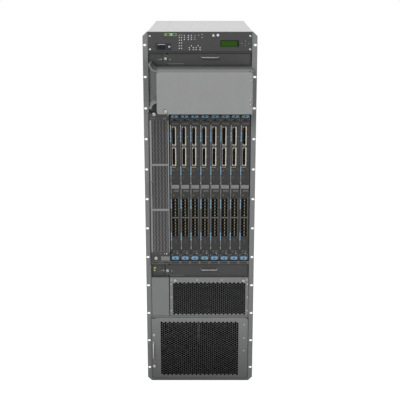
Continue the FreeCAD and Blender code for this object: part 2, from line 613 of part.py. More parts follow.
def build_filter_door():
    body = new_body("filter_door")
    back = d.filter_front + d.door_sheet
    rim = d.door_sheet
    side = d.filter_axis_x - d.filter_round
    extrude(body, "skin", "front", d.filter_front, back,
            rectangle(d.filter_left, d.filter_right, d.filter_low, d.filter_high))
    round_corners(body, "y", d.filter_round, (d.filter_right, d.filter_high))
    extrude(body, "returns", "front", back, back + d.door_return,
            polygon((d.filter_left, d.filter_low), (side, d.filter_low), (side, d.filter_low + rim),
                    (d.filter_left + rim, d.filter_low + rim), (d.filter_left + rim, d.filter_high - rim),
                    (side, d.filter_high - rim), (side, d.filter_high), (d.filter_left, d.filter_high)))
    add_honeycomb(body, d.filter_front, back, d.filter_first_x, d.filter_first_z, d.filter_columns,
                  d.filter_rows)
    add_barrel(body, d.filter_axis_x, back + d.barrel_set, d.filter_hinge_low, d.filter_hinge_high)
    bar_handle("filter_door_handle", "side", d.filter_handle_low, d.filter_handle_high, d.filter_front,
               d.filter_handle_reach, d.pull_bar, d.filter_handle_x - d.pull_width / 2,
               d.filter_handle_x + d.pull_width / 2, d.pull_round)


def build_air_filter():
    body = new_body("air_filter")
    extrude(body, "frame", "front", d.pad_face, d.pad_back,
            rectangle(-d.pad_half, d.pad_half, d.pad_low, d.pad_high))
    edge = d.pad_half - d.pad_rim
    low = d.pad_low + d.pad_rim
    high = d.pad_high - d.pad_rim
    extrude(body, "relief", "front", d.pad_face, d.pad_face + d.pad_relief,
            rectangle(-edge, -d.pad_bar / 2, low, high), rectangle(d.pad_bar / 2, edge, low, high), cut=True)


def build_line_card(number):
    body = new_body(f"line_card_{number}", x=d.card_first + d.card_pitch * (number - 1))
    back = d.card_face + d.card_sheet
    extrude(body, "faceplate", "front", d.card_face, back,
            rectangle(-d.card_half, d.card_half, d.card_low, d.card_high))
    extrude(body, "lever_notches", "front", d.card_face, back,
            rectangle(-d.notch_half, d.notch_half, d.card_low, d.card_low + d.notch_deep),
            rectangle(-d.notch_half, d.notch_half, d.card_high - d.notch_deep, d.card_high), cut=True)
    extrude(body, "board", "front", back, d.card_back,
            rectangle(d.card_board_left, d.card_board_right, d.card_board_low, d.card_board_high))
    extrude(body, "rib", "front", d.card_face - d.rib_reach, d.card_face,
            rectangle(d.rib_left, d.rib_right, d.rib_low, d.rib_high))
    extrude(body, "bar", "front", d.card_face - d.bar_reach, d.card_face,
            rectangle(d.bar_left, d.bar_right, d.bar_low, d.bar_high))
    add_tall_connectors(body)
    add_port_cage(body)
    for height in (d.pivot_top, d.pivot_bottom):
        extrude(body, "pivot_bar", "side", -d.pivot_bar_half, d.pivot_bar_half,
                regular(d.pivot_y, height, d.bar_radius, d.bar_sides))


def add_tall_connectors(body):
    """Two tall framed connectors, one above the other, with open cavities."""
    front = d.card_face - d.frame_reach
    spans = ((d.frame_a_low, d.frame_a_high), (d.frame_b_low, d.frame_b_high))
    extrude(body, "connectors", "front", front, d.frame_back,
            *[rectangle(d.frame_left, d.frame_right, low, high) for low, high in spans])
    extrude(body, "cavities", "front", front, front + d.cavity_depth,
            *[rectangle(d.cavity_left, d.cavity_right, low + d.cavity_inset, high - d.cavity_inset)
              for low, high in spans], cut=True)


def add_port_cage(body):
    """A cage of small ports, one above the other in pairs: two columns, in two groups of rows."""
    front = d.card_face - d.cage_reach
    extrude(body, "cage", "front", front, d.cage_back,
            rectangle(d.cage_left, d.cage_right, d.cage_low, d.cage_high))
    for group in (0, 1):
        row = d.jack_first_z + d.jack_group * group
        port = extrude(body, "port", "front", front, front + d.jack_depth,
                       rectangle(d.jack_first_x - d.jack_width / 2, d.jack_first_x + d.jack_width / 2,
                                 row - d.jack_high / 2, row + d.jack_high / 2), cut=True)
        repeat(body, port, across=(2, d.jack_pitch_x), up=(d.jack_rows, d.jack_pitch_z))


def build_lever(number, end):
    """An ejector lever that hooks over its pivot bar: arm, toe behind the faceplate and a grip in front."""
    height = {"top": d.pivot_top, "bottom": d.pivot_bottom}[end]
    way = {"top": 1, "bottom": -1}[end]
    card_x = d.card_first + d.card_pitch * (number - 1)
    body = new_body(f"card_{number}_{end}_lever", card_x, d.pivot_y, height)
    arm = [(d.arm_front, d.arm_low), (d.arm_front, d.arm_high), (d.arm_shoulder, d.arm_high)]
    toe = [(d.toe_front, d.toe_high), (d.toe_back, d.toe_high), (d.toe_back, d.toe_low)]
    hook = [(d.hook_heel, d.hook_end), (d.hook_gap, d.hook_end), (d.hook_gap, d.hook_gap),
            (-d.hook_gap, d.hook_gap), (-d.hook_gap, d.hook_end), (-d.hook_heel, d.hook_end)]
    outline = [(depth, rise * way) for depth, rise in arm + toe + hook]
    extrude(body, "arm", "side", -d.lever_half, d.lever_half, polygon(*outline))
    wide, high, cut = d.grip_half, d.grip_half_high, d.grip_cut
    middle = d.grip_centre * way
    corners = [(wide, high - cut), (wide - cut, high), (cut - wide, high), (-wide, high - cut),
               (-wide, cut - high), (cut - wide, -high), (wide - cut, -high), (wide, cut - high)]
    extrude(body, "grip", "front", d.grip_front, d.grip_back, polygon(*[(x, z + middle) for x, z in corners]))


def build_midplane():
    body = new_body("midplane_board")
    extrude(body, "board", "front", d.midplane_front, d.midplane_back,
            rectangle(-d.midplane_half, d.midplane_half, d.card_base + d.midplane_inset,
                      d.card_top - d.midplane_inset))


def build_rear_fan_tray():
    body = new_body("rear_fan_tray")
    low = d.duct_base + d.rear_sheet
    face = d.depth - d.rear_sheet_face
    extrude(body, "face", "front", face, d.depth,
            rectangle(-d.rear_fan_half, d.rear_fan_half, low, d.rear_fan_top))
    extrude(body, "box", "front", d.rear_fan_front, face,
            rectangle(-d.rear_fan_box_half, d.rear_fan_box_half, low + d.rear_fan_inset,
                      d.rear_fan_top - d.rear_fan_inset))
    well = extrude(body, "fan_well", "front", d.rear_fan_front, d.depth,
                   regular(-d.rear_fan_pitch_x, d.rear_fan_low, d.rear_fan_radius, d.well_sides), cut=True)
    repeat(body, well, across=(3, d.rear_fan_pitch_x), up=(2, d.rear_fan_pitch_z))
    middle = d.rear_fan_low + d.rear_fan_pitch_z / 2
    for side in (-1, 1):
        centre = d.rear_fan_box_half * side
        add_rear_handle(body, centre - d.rear_handle_width / 2, middle - d.rear_fan_radius,
                        middle + d.rear_fan_radius)


def add_rear_handle(body, left, low, high):
    """An upright bar on two legs, standing out behind a rear faceplate."""
    bar = d.rear_handle_bar
    inner = d.rear_reach - bar
    extrude(body, "rear_handle", "side", left, left + d.rear_handle_width,
            polygon((d.depth, low), (d.rear_reach, low), (d.rear_reach, high), (d.depth, high),
                    (d.depth, high - bar), (inner, high - bar), (inner, low + bar), (d.depth, low + bar)))


def build_switch_card(number):
    body = new_body(f"switch_card_{number}", x=d.switch_pitch * (number - (SWITCH_CARDS + 1) / 2))
    low = d.card_base + d.switch_gap
    high = d.card_top - d.switch_gap
    face = d.depth - d.rear_sheet_face
    extrude(body, "faceplate", "front", face, d.depth, rectangle(-d.switch_half, d.switch_half, low, high))
    extrude(body, "board", "front", d.switch_front, face,
            rectangle(-d.switch_board_half, d.switch_board_half, low, high))
    first = -d.switch_slot_pitch * (d.switch_slots - 1) / 2
    opening = extrude(body, "air_slot", "front", face, d.depth,
                      rectangle(first - d.switch_slot / 2, first + d.switch_slot / 2, d.switch_slot_low,
                                d.switch_slot_high), cut=True)
    repeat(body, opening, across=(d.switch_slots, d.switch_slot_pitch))
    half = d.switch_pull_half
    pulls = [rectangle(-half, half, start, start + d.switch_pull_high)
             for start in (low + d.switch_pull_inset, high - d.switch_pull_inset - d.switch_pull_high)]
    extrude(body, "pulls", "front", d.depth, d.depth + d.switch_pull_reach, *pulls)


def build_power_module(side, way):
    body = new_body(f"power_module_{side}")
    near = d.power_gap
    far = d.power_outer

    def across(inner, outer):
        return sorted((inner * way, outer * way), key=lambda size: size.value)

    face = d.depth - d.rear_sheet_face
    extrude(body, "case", "front", d.power_front, d.depth,
            rectangle(*across(near, far), d.power_low, d.power_high))
    wall = d.power_wall
    extrude(body, "hollow", "front", d.power_front + wall, face,
            rectangle(*across(near + wall, far - wall), d.power_low + wall, d.power_high - wall), cut=True)
    low = d.power_slot_first
    slots = extrude(body, "air_slot", "front", face, d.depth,
                    rectangle(*across(near + d.power_slot_inset, d.power_cover_right), low,
                              low + d.power_slot_high), cut=True)
    repeat(body, slots, up=(d.power_slots, d.power_slot_pitch))
    extrude(body, "terminal_cover", "front", d.depth, d.depth + d.power_cover_reach,
            rectangle(*across(d.power_cover_left, d.power_cover_right), d.power_cover_low, d.power_cover_high))
    left = across(d.power_handle_left, d.power_handle_left + d.rear_handle_width)[0]
    add_rear_handle(body, left, d.power_handle_low, d.power_handle_high)


def build_all():
    build_chassis()
    build_flanges()
    build_craft_panel()
    build_display()
    build_relay_block()
    build_port_module()
    build_keys()
    build_fan_tray("upper", d.upper_tray_base, d.upper_tray_top, d.upper_handle_z)
    build_fan_tray("lower", d.lower_tray_base, d.lower_tray_top, d.lower_handle_z)
    build_tray_side_panels()
    build_cable_duct()
    build_cable_cover()
    build_hinge_pins()
    build_bay_door()
    build_control_boards()
    build_lower_panels()
    build_filter_door()
    build_air_filter()
    build_midplane()
    for number in range(1, CARDS + 1):
        build_line_card(number)
        build_lever(number, "top")
        build_lever(number, "bottom")
    build_rear_fan_tray()
    for number in range(1, SWITCH_CARDS + 1):
        build_switch_card(number)
    build_power_module("left", -1)
    build_power_module("right", 1)


def check_all():
    for item in doc.Objects:
        if "Invalid" in item.State or "Error" in item.State:
            raise RuntimeError(f"{item.Label} failed: {item.State}")
    for node in nodes:
        if node.Shape.isNull() or not node.Shape.isValid() or node.Shape.Volume <= 0:
            raise RuntimeError(f"{node.Label} has no sound shape")


build_all()
doc.recompute()
check_all()
os.makedirs("parts", exist_ok=True)
for node in nodes:
    node.Shape.exportStep(f"parts/{node.Label}.step")
    print(node.Label, len(node.Shape.Solids), round(node.Shape.Volume))
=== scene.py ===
"""Looks of the core router: finishes for the solids and finely made pieces around them."""

import json
import math
from itertools import product

import bmesh
import bpy
from mathutils import Matrix, Vector, geometry


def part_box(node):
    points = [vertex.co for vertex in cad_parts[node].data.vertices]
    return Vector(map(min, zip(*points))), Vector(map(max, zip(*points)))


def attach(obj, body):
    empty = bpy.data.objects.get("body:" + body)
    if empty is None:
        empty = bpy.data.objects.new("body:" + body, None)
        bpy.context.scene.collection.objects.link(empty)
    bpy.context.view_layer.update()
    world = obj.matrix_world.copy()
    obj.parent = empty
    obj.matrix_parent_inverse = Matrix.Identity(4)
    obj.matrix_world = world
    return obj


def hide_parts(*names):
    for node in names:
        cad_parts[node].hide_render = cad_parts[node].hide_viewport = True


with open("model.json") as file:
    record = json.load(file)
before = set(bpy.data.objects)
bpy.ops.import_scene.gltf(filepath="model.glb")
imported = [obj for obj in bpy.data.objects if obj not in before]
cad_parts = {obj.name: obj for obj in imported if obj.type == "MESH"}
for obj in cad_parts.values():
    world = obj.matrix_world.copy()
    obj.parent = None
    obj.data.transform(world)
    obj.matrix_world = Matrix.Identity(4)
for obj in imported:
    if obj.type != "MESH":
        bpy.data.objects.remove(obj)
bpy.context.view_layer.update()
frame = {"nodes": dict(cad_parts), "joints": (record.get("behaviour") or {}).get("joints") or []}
nodes = frame["nodes"]

# Lengths are in millimetres. Depths count from the flange plane towards the rear.
MM = 0.001
FLANGE_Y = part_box("rack_flanges")[0].y
REAR_Y = 841
CARDS = range(1, 9)
CELL = {"flat": 10.8, "hole": 10.1}
SMOOTH_ANGLE = math.radians(35)


def span(node):
    """A solid's lowest and highest corners."""
    plane = Vector((0, FLANGE_Y, 0))
    return [(corner - plane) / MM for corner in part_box(node)]


def joint_place(name):
    """A point on a joint's axis."""
    x, y, z = next(joint["pos_m"] for joint in frame["joints"] if joint["name"] == name)
    return x / MM, (y - FLANGE_Y) / MM, z / MM


def around(middle, half):
    """A pair of limits on both sides of a middle."""
    return middle - half, middle + half


# Finishes

def settle(node, **settings):
    """A node with some of its inputs set by name."""
    for name, value in settings.items():
        node.inputs[name.replace("_", " ")].default_value = value
    return node


def add_node(tree, kind, **settings):
    """A new shader node with some of its inputs set."""
    return settle(tree.nodes.new(f"ShaderNode{kind}"), **settings)


def feed(tree, socket, value):
    """Links an input to a socket, or sets it to a plain value."""
    if isinstance(value, bpy.types.NodeSocket):
        tree.links.new(value, socket)
    else:
        socket.default_value = value


def blend(tree, factor, first, second):
    """Two colours mixed by a factor."""
    node = add_node(tree, "Mix")
    node.data_type = "RGBA"
    for name, value in (("Factor", factor), ("A", first), ("B", second)):
        feed(tree, node.inputs[name], value)
    return node.outputs["Result"]


def compute(tree, operation, *values):
    """The result of an operation on two numbers."""
    node = add_node(tree, "Math")
    node.operation = operation
    for socket, value in zip(node.inputs, values):
        feed(tree, socket, value)
    return node.outputs["Value"]


def finish(name, colour, roughness, metallic=0, mottle=0.06, mottle_scale=22, grain=0.12,
           grain_scale=1400, stretch=(1, 1, 1), specular=0.25):
    """A finish whose colour and roughness wander gently over a fine surface grain."""
    gloss_sway, grain_depth = 0.06, 0.0004
    material = bpy.data.materials.new(name)
    material.use_nodes = True
    tree = material.node_tree
    link = tree.links.new
    shader = settle(tree.nodes["Principled BSDF"], Metallic=metallic, Specular_IOR_Level=specular)
    spread = add_node(tree, "Mapping", Scale=stretch)
    link(add_node(tree, "TexCoord").outputs["Object"], spread.inputs["Vector"])
    blotch = add_node(tree, "TexNoise", Scale=mottle_scale, Detail=5)
    pores = add_node(tree, "TexNoise", Scale=grain_scale, Detail=2)
    for noise in (blotch, pores):
        link(spread.outputs["Vector"], noise.inputs["Vector"])
    shades = [(*[channel * share for channel in colour], 1) for share in (1 - mottle, 1 + mottle)]
    link(blend(tree, blotch.outputs["Fac"], *shades), shader.inputs["Base Color"])
    gloss = add_node(tree, "MapRange", To_Min=roughness - gloss_sway, To_Max=roughness + gloss_sway)
    link(blotch.outputs["Fac"], gloss.inputs["Value"])
    link(gloss.outputs["Result"], shader.inputs["Roughness"])
    bump = add_node(tree, "Bump", Strength=grain, Distance=grain_depth)
    link(pores.outputs["Fac"], bump.inputs["Height"])
    link(bump.outputs["Normal"], shader.inputs["Normal"])
    return material


def object_axes(tree):
    """The coordinates of a point on a piece, in metres."""
    axes = add_node(tree, "SeparateXYZ")
    tree.links.new(add_node(tree, "TexCoord").outputs["Object"], axes.inputs["Vector"])
    return axes.outputs


def recoat(material, factor, shade):
    """Lays another shade over a material as far as a factor says."""
    tree = material.node_tree
    socket = tree.nodes["Principled BSDF"].inputs["Base Color"]
    tree.links.new(blend(tree, factor, socket.links[0].from_socket, (*shade, 1)), socket)


def zone(material, shade, low, high, about=None, radius=0):
    """Another shade inside a box, and near a line along the depth if one is named."""
    tree = material.node_tree
    axes = object_axes(tree)
    tests = []
    for axis, plane in enumerate((0, FLANGE_Y, 0)):
        for limit, side in ((low[axis], "GREATER_THAN"), (high[axis], "LESS_THAN")):
            tests.append(compute(tree, side, axes[axis], limit * MM + plane))
    if about:
        steps = [compute(tree, "SUBTRACT", axes[name], place * MM) for name, place in zip("XZ", about)]
        away = compute(tree, "ADD", *[compute(tree, "MULTIPLY", step, step) for step in steps])
        tests.append(compute(tree, "LESS_THAN", away, (radius * MM) ** 2))
    within = tests[0]
    for test in tests[1:]:
        within = compute(tree, "MULTIPLY", within, test)
    recoat(material, within, shade)


def fade(material, shade, low, high):
    """A turn to another shade on the way down between two heights."""
    tree = material.node_tree
    share = add_node(tree, "MapRange", From_Min=high * MM, From_Max=low * MM)
    tree.links.new(object_axes(tree)["Z"], share.inputs["Value"])
    recoat(material, share.outputs["Result"], shade)


BRUSHED = (1, 1, 30)
COVER_GREY = (0.305, 0.31, 0.308)
# The duct's painted shade, where shade falls under the tray and the cover
DUCT_PAINTED_SHADE = (0.05, 0.051, 0.051)
WINDOW_ENDS = (624, 1216)
SHELL = finish("shell_paint", (0.335, 0.336, 0.334), 0.42)
FLANGE = finish("flange_paint", (0.22, 0.224, 0.226), 0.40)
COVER = finish("cover_paint", COVER_GREY, 0.45)
DUCT = finish("duct_paint", (0.225, 0.229, 0.229), 0.45)
DARK = finish("dark_paint", (0.064, 0.065, 0.065), 0.48)
# A dark paint for dark parts, and for painted shadow
DARKER = finish("dark_paint_and_painted_shadow", (0.035, 0.036, 0.037), 0.55)
PANEL = finish("panel_paint", (0.235, 0.239, 0.239), 0.46)
CARD = finish("card_paint", (0.037, 0.037, 0.036), 0.45)
RIB = finish("card_rib", (0.088, 0.089, 0.088), 0.42)
RAIL = finish("card_rail", (0.135, 0.136, 0.135), 0.42)
# Painted highlight on the cards' ribs
RIB_HIGHLIGHT = finish("card_rib_highlight", (0.38, 0.38, 0.37), 0.36, 0.3)
SHELL_RIVET = finish("shell_rivet", (0.20, 0.202, 0.202), 0.4)
DOOR = finish("door_paint", (0.245, 0.249, 0.249), 0.46)
MESH = finish("mesh_metal", (0.105, 0.103, 0.101), 0.45, 0.3)
WAVE = finish("wave_metal", (0.122, 0.119, 0.117), 0.45, 0.3)
BRIGHT = finish("bright_metal", (0.72, 0.71, 0.69), 0.32, 0.9, stretch=BRUSHED, grain_scale=500)
HANDLE = finish("handle_metal", (0.255, 0.255, 0.25), 0.42, 0.6, stretch=BRUSHED, grain_scale=500)
RIVET = finish("rivet_metal", (0.55, 0.55, 0.54), 0.42, 0.4)
STEEL = finish("plated_steel", (0.55, 0.55, 0.54), 0.35, 0.9)
CREAM = finish("thumbscrew_metal", (0.78, 0.77, 0.73), 0.38, 0.35)
BLUE = finish("lever_plastic", (0.215, 0.38, 0.53), 0.42, grain=0.2)
BLUE_STRIP = finish("card_blue", (0.26, 0.45, 0.62), 0.42)
BLUE_DARK = finish("lever_recess", (0.018, 0.023, 0.027), 0.5)
YELLOW = finish("yellow_mark", (0.43, 0.345, 0.018), 0.5)
AMBER = finish("amber_mark", (0.60, 0.45, 0.018), 0.5)
WHITE = finish("white_lens", (0.84, 0.85, 0.85), 0.3)
LAMP = finish("lamp_lens", (0.62, 0.62, 0.61), 0.3)
MARK = finish("pale_mark", (0.40, 0.41, 0.41), 0.5)
FAINT = finish("faint_mark", (0.12, 0.122, 0.122), 0.5)
BLACK = finish("black_plastic", (0.008, 0.008, 0.009), 0.5, specular=0.1)
NAVY = finish("navy_plastic", (0.020, 0.023, 0.034), 0.42)
GREEN = finish("terminal_plastic", (0.17, 0.31, 0.10), 0.45)
SCREEN = finish("display_glass", (0.029, 0.084, 0.004), 0.2, mottle=0.25, mottle_scale=60, grain=0.02,
                specular=0.1)
SHELL_METAL = finish("connector_shell", (0.40, 0.379, 0.336), 0.36, 0.6)
CAGE = finish("port_cage", (0.15, 0.125, 0.09), 0.4, 0.3)
CAGE_EDGE = finish("cage_edge", (0.19, 0.18, 0.155), 0.42, 0.2)
WEB = finish("port_web", (0.035, 0.03, 0.024), 0.45, 0.2)
TONGUE = finish("port_tongue", (0.25, 0.225, 0.17), 0.4, 0.3)
BOARD = finish("board_mask", (0.012, 0.075, 0.035), 0.38, mottle=0.25, mottle_scale=140)
CHIP = finish("chip_plastic", (0.02, 0.02, 0.021), 0.5)
FOAM = finish("filter_foam", (0.0015, 0.0015, 0.0015), 0.9, mottle=0.5, mottle_scale=400, grain=0.8,
              grain_scale=500, specular=0.02)
ALLOY = finish("heat_sink", (0.42, 0.43, 0.44), 0.4, 0.85, stretch=BRUSHED)

# Shell: front edges, with painted shade in the gaps between parts; the strip over the filter door with two
# painted shadow lines; and the sill
# Painted shade: the front edges are dark, partly their own paint and partly the shade in the gaps between the
# front parts
zone(SHELL, (0.04, 0.041, 0.041), (-219.8, -1, 0.5), (219.8, 0.6, 1585))
zone(SHELL, (0.225, 0.228, 0.228), (-217.9, -1, 300), (217.9, 0.6, 330))
# Painted shadow: dark lines under the filter door's top edge and under the intake panel's bottom edge
for shadow_line in (310.2, 320):
    zone(SHELL, (0.03, 0.03, 0.03), (-217.9, -1, shadow_line - 1.3), (217.9, 0.6, shadow_line + 1.3))
zone(SHELL, (0.115, 0.116, 0.116), (-219.8, -1, 0.5), (219.8, 0.6, 16.5))
# Shell: the inside in painted shade, a shelf's edge in painted light from above, and the edge beside the duct
# Painted shade: the whole inside near black
zone(SHELL, (0.008, 0.008, 0.008), (-219, 0.6, 1), (219, 839.5, 1587))
# Painted light: the shelf under the lower tray paler than the inside, as lit from above
zone(SHELL, (0.10, 0.101, 0.101), (-217.9, 0.4, 500), (217.9, 14, 509))
zone(SHELL, (0.16, 0.161, 0.161), (-219.8, -1, 1284), (-212, 0.6, 1448))
# Flanges: painted shade, darker towards the floor and beside the doors
# Painted shade: the flanges turn darker towards the floor
fade(FLANGE, (0.18, 0.183, 0.184), 0, 330)
# Painted shadow along the left flange's inner edge
zone(FLANGE, (0.07, 0.071, 0.071), (-222.6, -4, 560), (-219, 3, 1250))
# Painted shade in the gaps between the flanges and the filter door
for left in (-221.6, 219):
    zone(FLANGE, (0.06, 0.061, 0.061), (left, -4, 0), (left + 2.6, 3, 320))
# Cover: a band along its top in painted shade, and round corners under it with painted shade outside them
zone(COVER, (0.222, 0.226, 0.225), (-179, -150, 1434.6), (217, -139, 1447))
# Painted shade outside the round corners; inside them the cover keeps its own grey
for left, right, middle in ((-178, -167.5, -167.5), (205.5, 216, 205.5)):
    corner = ((left, -150, 1424), (right, -139, 1434.7))
    zone(COVER, (0.12, 0.122, 0.121), *corner)
    zone(COVER, COVER_GREY, *corner, about=(middle, 1424), radius=10.6)
# Duct: painted shade on its roof, inside both lips, on its floor and on a bracket
zone(DUCT, (0.075, 0.076, 0.076), (-230, -142.9, 1434), (230, 30, 1480))
for lip in (1470, 1284):
    zone(DUCT, DUCT_PAINTED_SHADE, (-218, -142.9, 1248), (-176, 30, 1480), about=(-176, lip), radius=33.5)
zone(DUCT, DUCT_PAINTED_SHADE, (-218, -144, 1248), (-176, -142.8, 1480), about=(-176, 1470), radius=28.5)
zone(DUCT, DUCT_PAINTED_SHADE, (-218, -142.9, 1246), (-176, 30, 1284))
zone(DUCT, DUCT_PAINTED_SHADE, (-180, -140, 1240), (-130, -130, 1300.5))
# The top panel, its port module's left end, and the handles by height and depth; the filter door's handle
# turns darker towards its foot as painted shade
zone(DARK, (0.056, 0.057, 0.057), (-222, -4, 1504), (222, 4, 1590))
zone(NAVY, (0.064, 0.065, 0.065), (-200, -12, 1500), (-186, 5, 1560))
fade(HANDLE, (0.58, 0.58, 0.57), 203, 400)
# Painted shade: the filter door's handle darker towards its foot
fade(HANDLE, (0.30, 0.30, 0.295), 122, 203)
zone(HANDLE, (0.06, 0.06, 0.06), (-300, -7, 0), (300, 30, 2000))
# Filter door, mesh and tall connectors in painted shade: the door darker towards the floor, the mesh and the
# upper connectors darker at the top
# Painted shade: the door darker towards the floor
fade(DOOR, (0.12, 0.122, 0.122), 16, 316)
# Painted shade: the mesh and its bars darker at the top, lighter lower down
fade(MESH, (0.16, 0.157, 0.154), *WINDOW_ENDS)
fade(WAVE, (0.185, 0.181, 0.178), *WINDOW_ENDS)
# Painted shadow of the cover: the upper connectors' shells darker
fade(SHELL_METAL, (0.47, 0.445, 0.395), 1096, 1140)


# Shapes

def turn_to(axis, a, b, along):
    """A point from two coordinates across an axis and one along it."""
    return Vector({"x": (along, a, b), "y": (a, along, b), "z": (a, b, along)}[axis])


def soften(part, edges, offset):
    """Rounds some of a part's edges."""
    bmesh.ops.bevel(part, geom=edges, offset=offset, segments=2, affect="EDGES", profile=0.5)


def span_rings(part, rings, capped=True):
    """Faces from each ring of points, or single point, to the next, and over both ends."""
    for near, far in zip(rings, rings[1:]):
        count = max(len(near), len(far))
        for i in range(count):
            j = (i + 1) % count
            corners = [near[i % len(near)], near[j % len(near)], far[j % len(far)], far[i % len(far)]]
            part.faces.new(list(dict.fromkeys(corners)))
    if capped:
        part.faces.new(rings[0])
        part.faces.new(rings[-1])


def arc(x, z, radius, degrees):
    """Points on a circle at the angles given."""
    turns = map(math.radians, degrees)
    return [(x + radius * math.cos(turn), z + radius * math.sin(turn)) for turn in turns]


def circle(radius, sides):
    """Points evenly round the origin."""
    return arc(0, 0, radius, [360 * i / sides for i in range(sides)])


def new_object(name, data):
    """A new object in the scene."""
    item = bpy.data.objects.new(name, data)
    bpy.context.scene.collection.objects.link(item)
    return item


class Piece:
    """A visible piece under construction, in millimetres from the flange plane."""

    def __init__(self):
        self.mesh = bmesh.new()
        self.materials = []

    def add(self, part, material):
        """Takes a finished part into the piece."""
        if material not in self.materials:
            self.materials.append(material)
        index = self.materials.index(material)
        bmesh.ops.remove_doubles(part, verts=part.verts, dist=1e-4)
        bmesh.ops.recalc_face_normals(part, faces=part.faces)
        for face in part.faces:
            face.material_index = index
        scratch = bpy.data.meshes.new("scratch")
        part.to_mesh(scratch)
        part.free()
        self.mesh.from_mesh(scratch)
        bpy.data.meshes.remove(scratch)

    def block(self, material, x, y, z, edge=0.2):
        """A box between pairs of limits, with its edges rounded."""
        low, high = Vector((x[0], y[0], z[0])), Vector((x[1], y[1], z[1]))
        part = bmesh.new()
        size = Matrix.Diagonal((*(high - low), 1))
        bmesh.ops.create_cube(part, size=1, matrix=Matrix.Translation((low + high) / 2) @ size)
        if edge:
            soften(part, part.edges[:], edge)
        self.add(part, material)

    def plate(self, material, outline, holes, front, back, edge=0):
        """An upright sheet with holes through it; the outline's front edge can be rounded."""
        part = bmesh.new()
        corners, rings = [], []
        for loop in (outline, *holes):
            rings.append(list(range(len(corners), len(corners) + len(loop))))
            corners += map(Vector, loop)
        spots, _, faces, _, _, owners = geometry.delaunay_2d_cdt(corners, [], rings, 1, 1e-5)
        verts = [part.verts.new((spot.x, front, spot.y)) for spot in spots]
        for face, owner in zip(faces, owners):
            if owner == [0]:
                part.faces.new([verts[i] for i in face])
        loose = [vert for vert in part.verts if not vert.link_faces]
        bmesh.ops.delete(part, geom=loose, context="VERTS")
        made = bmesh.ops.extrude_face_region(part, geom=part.faces[:], use_keep_orig=True)
        moved = [item for item in made["geom"] if isinstance(item, bmesh.types.BMVert)]
        bmesh.ops.translate(part, verts=moved, vec=(0, back - front, 0))
        if edge:
            rim = {(round(x, 3), round(z, 3)) for x, z in outline}
            outer = [item for item in part.edges
                     if all(abs(vert.co.y - front) < 1e-4 for vert in item.verts)
                     and all((round(vert.co.x, 3), round(vert.co.z, 3)) in rim for vert in item.verts)
                     and abs(item.calc_face_angle(0)) > 1]
            soften(part, outer, edge)
        self.add(part, material)

    def prism(self, material, outline, axis, start, end, edge=0):
        """An outline in two axes, drawn out along the third."""
        part = bmesh.new()
        new = part.verts.new
        span_rings(part, [[new(turn_to(axis, a, b, along)) for a, b in outline] for along in (start, end)])
        if edge:
            soften(part, [item for item in part.edges if item.calc_face_angle(0) > SMOOTH_ANGLE], edge)
        self.add(part, material)

    def turned(self, material, centre, profile, axis="y", sides=24):
        """A profile of radius and distance along an axis, turned about it."""
        part = bmesh.new()
        rings = []
        for radius, along in profile:
            spots = circle(radius, sides if radius else 1)
            rings.append([part.verts.new(Vector(centre) + turn_to(axis, a, b, along)) for a, b in spots])
        span_rings(part, rings, capped=False)
        self.add(part, material)

    def tube(self, material, path, radius, corner=0, sides=14, steps=6):
        """A round rod along a flat path, bent smoothly at its corners."""
        points = [Vector(point) for point in path]
        run = [points[0]]
        for before, bend, after in zip(points, points[1:], points[2:]):
            start = bend + (before - bend).normalized() * corner
            end = bend + (after - bend).normalized() * corner
            for step in range(steps + 1):
                share = step / steps
                run.append(start.lerp(bend, share).lerp(bend.lerp(end, share), share))
        run.append(points[-1])
        ways = [(far - near).normalized() for near, far in zip(run, run[1:])]
        aheads = [ways[0], *[(a + b).normalized() for a, b in zip(ways, ways[1:])], ways[-1]]
        lean = points[2] - points[1] if len(points) > 2 else Vector((0.1, 0.2, 0.3))
        side = aheads[0].cross(lean).normalized()
        part = bmesh.new()
        rings = []
        for point, ahead in zip(run, aheads):
            across = ahead.cross(side)
            rings.append([part.verts.new(point + a * side + b * across) for a, b in circle(radius, sides)])
        span_rings(part, rings)
        self.add(part, material)

    def data(self, name):
        """The finished mesh, in metres."""
        self.mesh.transform(Matrix.Scale(MM, 4))
        data = bpy.data.meshes.new(name)
        self.mesh.to_mesh(data)
        self.mesh.free()
        for material in self.materials:
            data.materials.append(material)
        data.shade_smooth()
        data.set_sharp_from_angle(angle=SMOOTH_ANGLE)
        return data

    def show(self, name, body="chassis", slot="panel_paint", replaced=()):
        """Puts the finished piece in the scene where it was made."""
        show(self.data(name), name, body, replaced)


def show(data, name, body, replaced, x=0, y=0, z=0):
    """Puts a mesh in the scene on a body, in place of the solids named."""
    piece = new_object(name, data)
    piece.location = (x * MM, FLANGE_Y + y * MM, z * MM)
    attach(piece, body)
    if replaced:
        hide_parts(*replaced)


def begin(node):
    """A new piece, and the corners and front face of the solid that it goes on."""
    low, high = span(node)
    return Piece(), low, high, low.y


def box_outline(left, right, low, high, radius=0, steps=5):
    """A rectangle's corners, rounded if a radius is given."""
    if not radius:
        return [(left, low), (right, low), (right, high), (left, high)]
    middles = box_outline(left + radius, right - radius, low + radius, high - radius)
    points = []
    for start, middle in zip((-90, 0, 90, 180), middles[1:] + middles[:1]):
        points += arc(*middle, radius, [start + 90 * step / steps for step in range(steps + 1)])
    return points


def cut_outline(left, right, low, high, cut):
    """A rectangle with its corners cut off."""
    return [(left + cut, low), (right - cut, low), (right, low + cut), (right, high - cut),
            (right - cut, high), (left + cut, high), (left, high - cut), (left, low + cut)]


